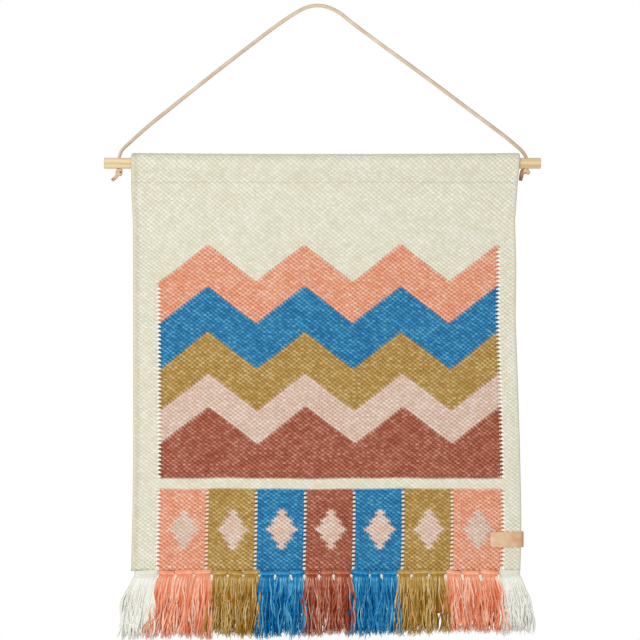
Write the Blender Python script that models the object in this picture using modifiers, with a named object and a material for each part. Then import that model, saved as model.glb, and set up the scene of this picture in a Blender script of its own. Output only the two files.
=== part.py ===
"""Flat-woven wall hanging on a wooden rod, hung from a leather lace, with a tasselled hem.

Metres, +Z up, the front faces -Y. The origin is where the underside of the lace rests on its peg.
"""
import math
import random
from typing import NamedTuple

import bmesh
import bpy
import numpy
from mathutils import Vector

OBJECT_NAME = "wall_hanging"
SHARP_ANGLE = 40

# Rod
ROD_LENGTH = 0.562
ROD_DIAMETER = 0.012
ROD_CENTRE_X = 0.008
ROD_AXIS_Z = -0.2014
ROD_SIDES = 32
ROD_END_BEVEL = 0.0006
HOLE_DIAMETER = 0.0052
HOLE_SIDES = 16
LEFT_HOLE_X = -0.2543
RIGHT_HOLE_X = 0.2709

# Cloth
CLOTH_THICKNESS = 0.004
ROD_CLEARANCE = 0.002
SLEEVE_DROP = 0.036
SLEEVE_HEM = 0.007
HEM_Z = -0.7262
TOP_END_LIFT = 0.0014
SELVEDGE_PINCH = 0.55
SELVEDGE_BAND = 0.006
CLOTH_COLUMNS = 16
CLOTH_ROWS = 19
SLEEVE_SIDE_STEPS = 4
SLEEVE_ARC_STEPS = 8

CLOTH_TOP_Z = ROD_AXIS_Z + ROD_DIAMETER / 2 + ROD_CLEARANCE + CLOTH_THICKNESS
SEAM_Z = CLOTH_TOP_Z - SLEEVE_DROP
SLEEVE_RADIUS = ROD_DIAMETER / 2 + ROD_CLEARANCE + CLOTH_THICKNESS / 2
CLOTH_MIDDLE_Y = -CLOTH_THICKNESS / 2


class Wave(NamedTuple):
    """One wave of the hanging cloth: its depth at the hem, and its turns across, down and at the start."""
    depth: float
    across: float
    down: float
    start: float
    growth: int


WAVES = (
    Wave(0.0024, 0.9, 0.35, 0.10, 1),
    Wave(0.0012, 2.3, -0.50, 0.30, 2),
)


class Selvedge(NamedTuple):
    """Side edges of the cloth at one distance below its top."""
    drop: float
    left: float
    right: float


SELVEDGES = (
    Selvedge(0.000, -0.2380, 0.2620),
    Selvedge(0.045, -0.2384, 0.2590),
    Selvedge(0.086, -0.2362, 0.2560),
    Selvedge(0.148, -0.2360, 0.2576),
    Selvedge(0.210, -0.2360, 0.2567),
    Selvedge(0.292, -0.2358, 0.2597),
    Selvedge(0.374, -0.2358, 0.2624),
    Selvedge(0.457, -0.2366, 0.2642),
    Selvedge(0.498, -0.2376, 0.2643),
    Selvedge(0.537, -0.2384, 0.2630),
)

# Fringe
TASSEL_GAP = 0.0003
HEAD_HEIGHT = 0.0078
HEAD_DEPTH = 0.0096
HEAD_BULGE = 1.06
HEAD_CROWN = 0.86
STRAND_PITCH = 0.0034
STRAND_ROWS = 2
STRAND_ROOT_GAP = 0.0009
STRAND_SIDES = (0.0023, 0.0023, 0.0017)
STRAND_STEPS = (0.36, 0.72, 1.0)
STRAND_SPREAD_POWER = 1.3
STRAND_SWAY = 0.0010
STRAND_SWAY_TURNS = 0.8
STRAND_SWAY_TURNS_PER_METRE = 6
LEFT_END_Z = -0.8085
RIGHT_END_Z = -0.8000
LEFT_LEAN = -0.015
RIGHT_LEAN = 0.011
LEAN_POWER = 3
TIP_ROW_SPREAD = 1.4
TASSEL_LENGTH_JITTER = 0.0020
STRAND_LENGTH_JITTER = 0.0025
STRAND_SIDE_JITTER = 0.12
FRINGE_SEED = 11


class Tassel(NamedTuple):
    """Head of one tassel: the middle of its bar along the hem, and the bar's width."""
    centre: float
    width: float


TASSELS = (
    Tassel(-0.2193, 0.0294),
    Tassel(-0.1927, 0.0175),
    Tassel(-0.1688, 0.0198),
    Tassel(-0.1460, 0.0206),
    Tassel(-0.1236, 0.0171),
    Tassel(-0.1037, 0.0187),
    Tassel(-0.0831, 0.0187),
    Tassel(-0.0629, 0.0193),
    Tassel(-0.0424, 0.0171),
    Tassel(-0.0249, 0.0155),
    Tassel(-0.0055, 0.0155),
    Tassel(0.0135, 0.0149),
    Tassel(0.0331, 0.0190),
    Tassel(0.0576, 0.0206),
    Tassel(0.0760, 0.0130),
    Tassel(0.0942, 0.0190),
    Tassel(0.1143, 0.0155),
    Tassel(0.1343, 0.0193),
    Tassel(0.1552, 0.0188),
    Tassel(0.1781, 0.0168),
    Tassel(0.1991, 0.0200),
    Tassel(0.2226, 0.0206),
    Tassel(0.2503, 0.0250),
)

# Yarn colours. The tassels are natural at both ends and in threes of one colour between them.
YARN_COLOURS = {
    "natural": (0.77, 0.76, 0.62),
    "coral": (0.84, 0.34, 0.22),
    "ochre": (0.43, 0.27, 0.07),
    "blue": (0.023, 0.18, 0.41),
    "rust": (0.39, 0.11, 0.065),
}
TASSELS_OF_A_COLOUR = 3
TASSEL_YARNS = ("coral", "ochre", "blue", "rust", "blue", "ochre", "coral")

# Lace
LACE_WIDTH = 0.004
LACE_POINT_SPACING = 0.0095
LACE_FINE_STEPS = 24
LACE_TUBE_RESOLUTION = 2
KNOT_TUBE_RESOLUTION = 3
LACE_END_Z = ROD_AXIS_Z - ROD_DIAMETER / 2 - 0.0002
LACE_ROUTE = (
    (LEFT_HOLE_X, LACE_END_Z),
    (LEFT_HOLE_X, -0.1950),
    (-0.2510, -0.1855),
    (-0.2403, -0.1747),
    (-0.2190, -0.1556),
    (-0.1763, -0.1211),
    (-0.1335, -0.0869),
    (-0.0909, -0.0541),
    (-0.0481, -0.0218),
    (-0.0267, -0.0077),
    (-0.0140, -0.0010),
    (0.0000, 0.0020),
    (0.0155, -0.0004),
    (0.0300, -0.0075),
    (0.0442, -0.0188),
    (0.0836, -0.0483),
    (0.1231, -0.0770),
    (0.1626, -0.1063),
    (0.2019, -0.1359),
    (0.2415, -0.1656),
    (0.2553, -0.1769),
    (0.2651, -0.1858),
    (RIGHT_HOLE_X, -0.1950),
    (RIGHT_HOLE_X, LACE_END_Z),
)
KNOT_TOP_Z = LACE_END_Z - 0.0005


class KnotPoint(NamedTuple):
    """One point down the knot and its tail, from the knot's top, with its radius."""
    across: float
    down: float
    radius: float


LEFT_KNOT = (
    KnotPoint(0.0000, 0.0000, 0.0026),
    KnotPoint(0.0000, 0.0014, 0.0041),
    KnotPoint(0.0000, 0.0034, 0.0044),
    KnotPoint(-0.0001, 0.0050, 0.0038),
    KnotPoint(-0.0003, 0.0066, 0.0043),
    KnotPoint(-0.0009, 0.0086, 0.0036),
    KnotPoint(-0.0025, 0.0105, 0.0020),
    KnotPoint(-0.0052, 0.0128, 0.0017),
    KnotPoint(-0.0092, 0.0156, 0.0015),
)
RIGHT_KNOT = (
    KnotPoint(0.0000, 0.0000, 0.0025),
    KnotPoint(0.0000, 0.0012, 0.0037),
    KnotPoint(-0.0003, 0.0027, 0.0040),
    KnotPoint(-0.0008, 0.0039, 0.0034),
    KnotPoint(-0.0015, 0.0052, 0.0037),
    KnotPoint(-0.0028, 0.0067, 0.0029),
    KnotPoint(-0.0045, 0.0086, 0.0018),
    KnotPoint(-0.0060, 0.0118, 0.0016),
    KnotPoint(-0.0072, 0.0160, 0.0015),
)

# Leather tag
TAG_LEFT_X = 0.2241
TAG_RIGHT_X = 0.2672
TAG_TOP_Z = -0.6760
TAG_BOTTOM_Z = -0.6958
TAG_THICKNESS = 0.0013
TAG_GAP = 0.0005
TAG_FLAP_STEPS = 7
TAG_FOLD_STEPS = 8


def clear_scene():
    """Remove every object that the scene starts with."""
    for thing in list(bpy.data.objects):
        bpy.data.objects.remove(thing, do_unlink=True)


def make_material(name, colour, roughness):
    """Return a Principled material of one colour."""
    material = bpy.data.materials.new(name)
    material.use_nodes = True
    shader = material.node_tree.nodes["Principled BSDF"]
    shader.inputs["Base Color"].default_value = (*colour, 1.0)
    shader.inputs["Roughness"].default_value = roughness
    shader.inputs["Metallic"].default_value = 0.0
    material.diffuse_color = (*colour, 1.0)
    return material


def make_object(name, data, material, collection, parent):
    """Link a mesh or curve as a named object of the hanging."""
    thing = bpy.data.objects.new(name, data)
    data.materials.append(material)
    collection.objects.link(thing)
    thing.parent = parent
    return thing


def mesh_from(work, name, smooth_angle=None):
    """Close a bmesh into a mesh whose faces point outwards."""
    bmesh.ops.recalc_face_normals(work, faces=work.faces)
    mesh = bpy.data.meshes.new(name)
    work.to_mesh(mesh)
    work.free()
    if smooth_angle is not None:
        mesh.shade_smooth()
        mesh.set_sharp_from_angle(angle=math.radians(smooth_angle))
    return mesh


# Cloth

def selvedge_places(z):
    """Return the left and right edge of the cloth at a height."""
    drop = CLOTH_TOP_Z - z
    drops = [row.drop for row in SELVEDGES]
    left = numpy.interp(drop, drops, [row.left for row in SELVEDGES])
    right = numpy.interp(drop, drops, [row.right for row in SELVEDGES])
    return float(left), float(right)


def hang_depth(x, z):
    """Return how far the hanging cloth stands from its flat plane at a place on it."""
    fall = max(0.0, (SEAM_Z - SLEEVE_HEM - z) / (SEAM_Z - HEM_Z))
    left, right = selvedge_places(z)
    across = (x - left) / (right - left)
    depth = 0.0
    for wave in WAVES:
        turns = wave.across * across + wave.down * fall + wave.start
        depth += wave.depth * fall ** wave.growth * math.sin(2 * math.pi * turns)
    return depth


class SectionPoint(NamedTuple):
    """A corner of the cloth's section, and the point it is drawn to where the selvedge thins."""
    y: float
    z: float
    core_y: float
    core_z: float


def sleeve_line():
    """Return the middle line of the sleeve, from the front of the seam over the rod to its back."""
    rise = ROD_AXIS_Z - SEAM_Z
    front = []
    for step in range(1, SLEEVE_SIDE_STEPS):
        part = step / SLEEVE_SIDE_STEPS
        swell = part * part * (3 - 2 * part)
        y = -CLOTH_THICKNESS / 2 - (SLEEVE_RADIUS - CLOTH_THICKNESS / 2) * swell
        front.append((y, SEAM_Z + rise * part))
    back = [(-y, z) for y, z in reversed(front)]
    arc = []
    for step in range(SLEEVE_ARC_STEPS + 1):
        angle = math.pi - math.pi * step / SLEEVE_ARC_STEPS
        y = SLEEVE_RADIUS * math.cos(angle)
        arc.append((y, ROD_AXIS_Z + SLEEVE_RADIUS * math.sin(angle)))
    return front + arc + back


def sleeve_pairs():
    """Return the outer and inner corners along the sleeve."""
    line = sleeve_line()
    ends = [(-CLOTH_THICKNESS / 2, SEAM_Z)] + line + [(CLOTH_THICKNESS / 2, SEAM_Z)]
    pairs = []
    for index, (y, z) in enumerate(line):
        before = Vector(ends[index])
        after = Vector(ends[index + 2])
        along = (after - before).normalized()
        out = Vector((-along.y, along.x)) * (CLOTH_THICKNESS / 2)
        outer = SectionPoint(y + out.x, z + out.y, y, z)
        inner = SectionPoint(y - out.x, z - out.y, y, z)
        pairs.append((outer, inner))
    return pairs


def body_pairs():
    """Return the front and back corners of the single layer, from the hem up to the sleeve's hem."""
    top = SEAM_Z - SLEEVE_HEM
    pairs = []
    for row in range(CLOTH_ROWS):
        z = HEM_Z + (top - HEM_Z) * row / CLOTH_ROWS
        front = SectionPoint(-CLOTH_THICKNESS, z, CLOTH_MIDDLE_Y, z)
        back = SectionPoint(0.0, z, CLOTH_MIDDLE_Y, z)
        pairs.append((front, back))
    return pairs


def section_key(y, z):
    """Return the name of a section corner, which every swept copy of it shares."""
    return round(y, 6), round(z, 6)


def section_faces(work):
    """Fill the cloth's section at x = 0 with quads. The two layers share their corners at the seam."""
    cores = {}

    def add(point):
        cores[section_key(point.y, point.z)] = (point.core_y, point.core_z)
        return work.verts.new((0.0, point.y, point.z))

    body = [(add(front), add(back)) for front, back in body_pairs()]
    joined = []
    flap = []
    for z in (SEAM_Z - SLEEVE_HEM, SEAM_Z - SLEEVE_HEM / 2, SEAM_Z):
        middle = add(SectionPoint(0.0, z, 0.0, z))
        joined.append((add(SectionPoint(-CLOTH_THICKNESS, z, 0.0, z)), middle))
        flap.append((add(SectionPoint(CLOTH_THICKNESS, z, 0.0, z)), middle))
    sleeve = [(add(outer), add(inner)) for outer, inner in sleeve_pairs()]
    strip = body + joined + sleeve + list(reversed(flap))
    for (outer, inner), (next_outer, next_inner) in zip(strip, strip[1:]):
        work.faces.new((outer, inner, next_inner, next_outer))
    return cores


def place_corner(corner, core):
    """Move a swept corner to its place on the hanging cloth."""
    across, y, z = corner.co
    if across < SELVEDGE_BAND / 2 or across > 1.0 - SELVEDGE_BAND / 2:
        y = core[0] + (y - core[0]) * SELVEDGE_PINCH
        z = core[1] + (z - core[1]) * SELVEDGE_PINCH
    left, right = selvedge_places(z)
    x = left + (right - left) * across
    lifted = max(0.0, (z - SEAM_Z) / (CLOTH_TOP_Z - SEAM_Z))
    z += TOP_END_LIFT * lifted * (2 * across - 1) ** 2
    corner.co = (x, y + hang_depth(x, z), z)


def build_cloth():
    """Sweep the cloth's section from selvedge to selvedge."""
    work = bmesh.new()
    cores = section_faces(work)
    grown = bmesh.ops.extrude_face_region(work, geom=list(work.faces))["geom"]
    for corner in new_corners(grown):
        corner.co.x = 1.0
    for across in numpy.linspace(SELVEDGE_BAND, 1.0 - SELVEDGE_BAND, CLOTH_COLUMNS):
        everything = list(work.verts) + list(work.edges) + list(work.faces)
        plane = Vector((float(across), 0.0, 0.0))
        bmesh.ops.bisect_plane(work, geom=everything, plane_co=plane, plane_no=Vector((1.0, 0.0, 0.0)))
    for corner in list(work.verts):
        place_corner(corner, cores[section_key(corner.co.y, corner.co.z)])
    return mesh_from(work, "cloth", SHARP_ANGLE)


def new_corners(grown):
    """Return the corners among what an extrusion made."""
    return [part for part in grown if isinstance(part, bmesh.types.BMVert)]


def new_faces(grown):
    """Return the faces among what an extrusion made."""
    return [part for part in grown if isinstance(part, bmesh.types.BMFace)]


# Rod

def build_rod(material, collection, cutters, parent):
    """Turn the rod and drill it for the lace."""
    bpy.ops.mesh.primitive_cylinder_add(
        vertices=ROD_SIDES, radius=ROD_DIAMETER / 2, depth=ROD_LENGTH,
        location=(ROD_CENTRE_X, 0.0, ROD_AXIS_Z), rotation=(0.0, math.pi / 2, 0.0))
    rod = bpy.context.object
    rod.name = "rod"
    rod.data.materials.append(material)
    move_to(rod, collection)
    rod.parent = parent
    bevel = rod.modifiers.new("sawn ends", "BEVEL")
    bevel.width = ROD_END_BEVEL
    bevel.segments = 1
    bevel.limit_method = "ANGLE"
    bevel.angle_limit = math.radians(SHARP_ANGLE)
    for number, hole_x in enumerate((LEFT_HOLE_X, RIGHT_HOLE_X)):
        bpy.ops.mesh.primitive_cylinder_add(
            vertices=HOLE_SIDES, radius=HOLE_DIAMETER / 2, depth=2 * ROD_DIAMETER,
            location=(hole_x, 0.0, ROD_AXIS_Z))
        drill = bpy.context.object
        drill.name = f"drill_{number + 1}"
        drill.hide_render = True
        drill.display_type = "WIRE"
        move_to(drill, cutters)
        hole = rod.modifiers.new(f"lace hole {number + 1}", "BOOLEAN")
        hole.operation = "DIFFERENCE"
        hole.solver = "EXACT"
        hole.object = drill
    rod.data.shade_smooth()
    rod.data.set_sharp_from_angle(angle=math.radians(SHARP_ANGLE))


def move_to(thing, collection):
    """Keep an object in one collection only."""
    for old in list(thing.users_collection):
        old.objects.unlink(thing)
    collection.objects.link(thing)


# Fringe

def fringe_lean(x):
    """Return how far the strands below a place on the hem lean sideways at their tips."""
    left, right = selvedge_places(HEM_Z)
    middle = (left + right) / 2
    side = (x - middle) / ((right - left) / 2)
    lean = RIGHT_LEAN if side > 0 else LEFT_LEAN
    return lean * abs(side) ** LEAN_POWER


def tip_range(number):
    """Return the stretch that the tips of one tassel fill, beside those of its neighbours."""
    edges = []
    for step in (-1, 1):
        own = TASSELS[number].centre + step * TASSELS[number].width / 2
        beside = number + step
        if 0 <= beside < len(TASSELS):
            other = TASSELS[beside].centre - step * TASSELS[beside].width / 2
            own = (own + other) / 2
        edges.append(own + fringe_lean(own))
    return edges


def square_face(face, centre, side):
    """Move a face's corners to a level square around a centre."""
    old = face.calc_center_median()
    for corner in face.verts:
        x = centre.x + math.copysign(side / 2, corner.co.x - old.x)
        y = centre.y + math.copysign(side / 2, corner.co.y - old.y)
        corner.co = (x, y, centre.z)


def grow_strand(work, face, tip):
    """Extrude one strand from a face under the head down to its tip."""
    root = face.calc_center_median()
    for part, side in zip(STRAND_STEPS, STRAND_SIDES):
        ease = part ** STRAND_SPREAD_POWER
        turns = STRAND_SWAY_TURNS * part + STRAND_SWAY_TURNS_PER_METRE * root.x
        sway = STRAND_SWAY * math.sin(2 * math.pi * turns)
        x = root.x + (tip.x - root.x) * ease + sway * part
        y = root.y + (tip.y - root.y) * ease
        z = root.z + (tip.z - root.z) * part
        face = bmesh.ops.extrude_discrete_faces(work, faces=[face])["faces"][0]
        square_face(face, Vector((x, y, z)), side)


def grow_layer(work, faces, middle_x, middle_y, scale, z):
    """Extrude faces up to a height and scale them about the middle of the head."""
    grown = bmesh.ops.extrude_face_region(work, geom=faces)["geom"]
    for corner in new_corners(grown):
        x = middle_x + (corner.co.x - middle_x) * scale
        corner.co = (x, middle_y + (corner.co.y - middle_y) * scale, z)
    return new_faces(grown)


def build_head(work, tassel, strands):
    """Make the head of a tassel and return the faces under it that the strands grow from."""
    depth = hang_depth(tassel.centre, HEM_Z) + CLOTH_MIDDLE_Y
    top = HEM_Z - TASSEL_GAP
    bmesh.ops.create_grid(work, x_segments=strands, y_segments=STRAND_ROWS, size=0.5)
    under = list(work.faces)
    bmesh.ops.reverse_faces(work, faces=under)
    for corner in work.verts:
        x = tassel.centre + corner.co.x * tassel.width * HEAD_CROWN
        corner.co = (x, depth + corner.co.y * HEAD_DEPTH * HEAD_CROWN, top - HEAD_HEIGHT)
    middle = grow_layer(work, under, tassel.centre, depth, HEAD_BULGE / HEAD_CROWN, top - HEAD_HEIGHT / 2)
    crown = grow_layer(work, middle, tassel.centre, depth, HEAD_CROWN / HEAD_BULGE, top)
    bmesh.ops.delete(work, geom=middle, context="FACES")
    bmesh.ops.dissolve_faces(work, faces=crown)
    return under


def build_tassel(number, draw):
    """Make one tassel: a rounded bar with its strands growing out of the underside."""
    tassel = TASSELS[number]
    strands = round(tassel.width / STRAND_PITCH)
    work = bmesh.new()
    under = build_head(work, tassel, strands)
    under.sort(key=lambda face: (face.calc_center_median().y, face.calc_center_median().x))
    left, right = tip_range(number)
    end_z = numpy.interp(tassel.centre, (left_end(), right_end()), (LEFT_END_Z, RIGHT_END_Z))
    end_z += draw.uniform(-TASSEL_LENGTH_JITTER, TASSEL_LENGTH_JITTER)
    depth = hang_depth(tassel.centre, HEM_Z) + CLOTH_MIDDLE_Y
    bmesh.ops.inset_individual(work, faces=under, thickness=STRAND_ROOT_GAP / 2, use_even_offset=True)
    for index, face in enumerate(under):
        place = index % strands + 0.5 + draw.uniform(-STRAND_SIDE_JITTER, STRAND_SIDE_JITTER)
        root = face.calc_center_median()
        tip_y = depth + (root.y - depth) * TIP_ROW_SPREAD
        tip_z = end_z + draw.uniform(-STRAND_LENGTH_JITTER, STRAND_LENGTH_JITTER)
        tip = Vector((left + (right - left) * place / strands, tip_y, tip_z))
        grow_strand(work, face, tip)
    return mesh_from(work, f"tassel_{number + 1:02d}")


def tassel_yarn(number):
    """Return the name of the yarn that one tassel is made of."""
    if number in (0, len(TASSELS) - 1):
        return "natural"
    return TASSEL_YARNS[(number - 1) // TASSELS_OF_A_COLOUR]


def left_end():
    """Return the middle of the first tassel."""
    return TASSELS[0].centre


def right_end():
    """Return the middle of the last tassel."""
    return TASSELS[-1].centre


# Lace

def smooth_route(points, spacing):
    """Read points at an even spacing from a smooth curve through the route's own points."""
    route = [Vector((x, 0.0, z)) for x, z in points]
    padded = [2 * route[0] - route[1]] + route + [2 * route[-1] - route[-2]]
    fine = []
    for first, second, third, fourth in zip(padded, padded[1:], padded[2:], padded[3:]):
        for step in range(LACE_FINE_STEPS):
            fine.append(catmull_rom(first, second, third, fourth, step / LACE_FINE_STEPS))
    fine.append(route[-1])
    travelled = [0.0]
    for before, after in zip(fine, fine[1:]):
        travelled.append(travelled[-1] + (after - before).length)
    count = round(travelled[-1] / spacing) + 1
    wanted = numpy.linspace(0.0, travelled[-1], count)
    xs = numpy.interp(wanted, travelled, [point.x for point in fine])
    zs = numpy.interp(wanted, travelled, [point.z for point in fine])
    return [Vector((float(x), 0.0, float(z))) for x, z in zip(xs, zs)]


def catmull_rom(first, second, third, fourth, part):
    """Return a point between the second and third of four, on a centripetal curve."""
    knots = [0.0]
    for before, after in ((first, second), (second, third), (third, fourth)):
        knots.append(knots[-1] + math.sqrt((after - before).length))
    place = knots[1] + (knots[2] - knots[1]) * part
    near = mix(first, second, knots[0], knots[1], place)
    middle = mix(second, third, knots[1], knots[2], place)
    far = mix(third, fourth, knots[2], knots[3], place)
    early = mix(near, middle, knots[0], knots[2], place)
    late = mix(middle, far, knots[1], knots[3], place)
    return mix(early, late, knots[1], knots[2], place)


def mix(start, end, low, high, place):
    """Blend two points by where a place lies between two knots."""
    return start * ((high - place) / (high - low)) + end * ((place - low) / (high - low))


def tube(name, points, bevel_depth, swells, resolution):
    """Return a round tube along points. Its radius at each is the bevel depth times the swell there."""
    curve = bpy.data.curves.new(name, "CURVE")
    curve.dimensions = "3D"
    curve.bevel_depth = bevel_depth
    curve.bevel_resolution = resolution
    curve.use_fill_caps = True
    spline = curve.splines.new("POLY")
    spline.points.add(len(points) - 1)
    for place, point, swell in zip(spline.points, points, swells):
        place.co = (*point, 1.0)
        place.radius = swell
    return curve


def build_lace():
    """Make the lace that runs from one end of the rod over the peg to the other."""
    points = smooth_route(LACE_ROUTE, LACE_POINT_SPACING)
    return tube("hanger_lace", points, LACE_WIDTH / 2, [1.0] * len(points), LACE_TUBE_RESOLUTION)


def build_knot(name, hole_x, knot):
    """Make the knot and tail under one hole of the rod."""
    points = [(hole_x + row.across, 0.0, KNOT_TOP_Z - row.down) for row in knot]
    swells = [row.radius / (LACE_WIDTH / 2) for row in knot]
    return tube(name, points, LACE_WIDTH / 2, swells, KNOT_TUBE_RESOLUTION)


# Leather tag

def tag_line():
    """Return the middle line of the tag seen from above, round the cloth's right edge."""
    radius = CLOTH_THICKNESS / 2 + TAG_GAP + TAG_THICKNESS / 2
    fold_x = TAG_RIGHT_X - TAG_THICKNESS / 2 - radius
    front = []
    for step in range(TAG_FLAP_STEPS):
        x = TAG_LEFT_X + (fold_x - TAG_LEFT_X) * step / TAG_FLAP_STEPS
        front.append((x, CLOTH_MIDDLE_Y - radius))
    fold = []
    for step in range(TAG_FOLD_STEPS + 1):
        angle = -math.pi / 2 + math.pi * step / TAG_FOLD_STEPS
        fold.append((fold_x + radius * math.cos(angle), CLOTH_MIDDLE_Y + radius * math.sin(angle)))
    back = [(x, 2 * CLOTH_MIDDLE_Y - y) for x, y in reversed(front)]
    return front + fold + back


def build_tag(material, collection, parent):
    """Fold a strip of leather round the cloth's right edge."""
    work = bmesh.new()
    corners = []
    for x, y in tag_line():
        depth = hang_depth(min(x, TAG_RIGHT_X), TAG_BOTTOM_Z)
        corners.append(work.verts.new((x, y + depth, TAG_BOTTOM_Z)))
    edges = [work.edges.new(pair) for pair in zip(corners, corners[1:])]
    grown = bmesh.ops.extrude_edge_only(work, edges=edges)["geom"]
    for corner in new_corners(grown):
        shift = hang_depth(corner.co.x, TAG_TOP_Z) - hang_depth(corner.co.x, TAG_BOTTOM_Z)
        corner.co.y += shift
        corner.co.z = TAG_TOP_Z
    mesh = mesh_from(work, "leather_tag", SHARP_ANGLE)
    tag = make_object("leather_tag", mesh, material, collection, parent)
    wall = tag.modifiers.new("leather", "SOLIDIFY")
    wall.thickness = TAG_THICKNESS
    wall.offset = 0.0
    wall.use_even_offset = True


# Whole hanging

def main():
    """Build every piece of the hanging."""
    clear_scene()
    hanging = bpy.data.collections.new(OBJECT_NAME)
    cutters = bpy.data.collections.new("cutters")
    for collection in (hanging, cutters):
        bpy.context.scene.collection.children.link(collection)
    root = bpy.data.objects.new(OBJECT_NAME, None)
    hanging.objects.link(root)
    yarns = {name: make_material(f"{name} yarn", colour, 0.95) for name, colour in YARN_COLOURS.items()}
    pine = make_material("pale wood", (0.80, 0.61, 0.30), 0.55)
    hide = make_material("natural leather", (0.61, 0.40, 0.26), 0.6)
    build_rod(pine, hanging, cutters, root)
    make_object("cloth", build_cloth(), yarns["natural"], hanging, root)
    draw = random.Random(FRINGE_SEED)
    for number in range(len(TASSELS)):
        mesh = build_tassel(number, draw)
        make_object(f"tassel_{number + 1:02d}", mesh, yarns[tassel_yarn(number)], hanging, root)
    make_object("hanger_lace", build_lace(), hide, hanging, root)
    left = build_knot("knot_left", LEFT_HOLE_X, LEFT_KNOT)
    make_object("knot_left", left, hide, hanging, root)
    right = build_knot("knot_right", RIGHT_HOLE_X, RIGHT_KNOT)
    make_object("knot_right", right, hide, hanging, root)
    build_tag(hide, hanging, root)


main()
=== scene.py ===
"""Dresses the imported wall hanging: wool weave, fringe, leather lace, wooden rod, leather tag and studio."""

import logging
import math
from collections.abc import Iterator
from contextlib import contextmanager
from dataclasses import dataclass, field
from enum import Enum

import bmesh
import bpy
import numpy
from mathutils import Matrix, Vector


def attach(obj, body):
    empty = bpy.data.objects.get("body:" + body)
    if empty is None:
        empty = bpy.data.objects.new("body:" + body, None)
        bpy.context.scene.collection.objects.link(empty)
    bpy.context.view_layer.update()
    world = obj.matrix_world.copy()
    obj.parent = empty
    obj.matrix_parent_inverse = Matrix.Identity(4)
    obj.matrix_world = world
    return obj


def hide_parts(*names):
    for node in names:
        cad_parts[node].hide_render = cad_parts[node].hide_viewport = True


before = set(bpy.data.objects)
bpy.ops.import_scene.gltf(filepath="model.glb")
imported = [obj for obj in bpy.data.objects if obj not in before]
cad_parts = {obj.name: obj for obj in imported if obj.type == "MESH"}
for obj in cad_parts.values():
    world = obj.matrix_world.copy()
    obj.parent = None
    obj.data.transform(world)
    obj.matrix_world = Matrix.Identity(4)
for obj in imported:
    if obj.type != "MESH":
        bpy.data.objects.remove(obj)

LOG = logging.getLogger("wall_hanging")
BODY = "root"

Colour = tuple[float, float, float, float]
Point = tuple[float, float, float]


# Colours and yarns

def linear(red: int, green: int, blue: int) -> Colour:
    """Turn a colour given on the usual 0 to 255 scale into the values that a shader takes.

    Args:
        red: Red part.
        green: Green part.
        blue: Blue part.

    Returns:
        The linear colour, with full alpha.
    """
    parts = []
    for value in (red, green, blue):
        part = value / 255
        parts.append(part / 12.92 if part <= 0.04045 else ((part + 0.055) / 1.055) ** 2.4)
    return (parts[0], parts[1], parts[2], 1.0)


class Yarn(Enum):
    """The dyed wools of the hanging, with their colours on the usual 0 to 255 scale."""

    NATURAL = (223, 219, 198)
    CORAL = (234, 159, 126)
    OCHRE = (177, 140, 72)
    BLUE = (37, 121, 170)
    RUST = (165, 90, 66)
    PINK = (221, 191, 173)
    WARP = (248, 245, 235)

    @property
    def colour(self) -> Colour:
        """The yarn's colour as a shader takes it."""
        return linear(*self.value)

    @property
    def shade(self) -> float:
        """How far painted shade blends the yarn's crevices in the weave towards black, besides their deeper
        power there, from 0 to 1; darker yarns' floats also wander more by it.
        """
        return {"NATURAL": 0.0, "WARP": 0.0, "PINK": 0.5, "OCHRE": 0.45}.get(self.name, 0.7)

    @property
    def slot(self) -> str:
        """The record's slot for a tassel of this yarn."""
        return "fringe_" + self.name.lower()


YARNS = tuple(Yarn)


# Node boards

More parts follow.
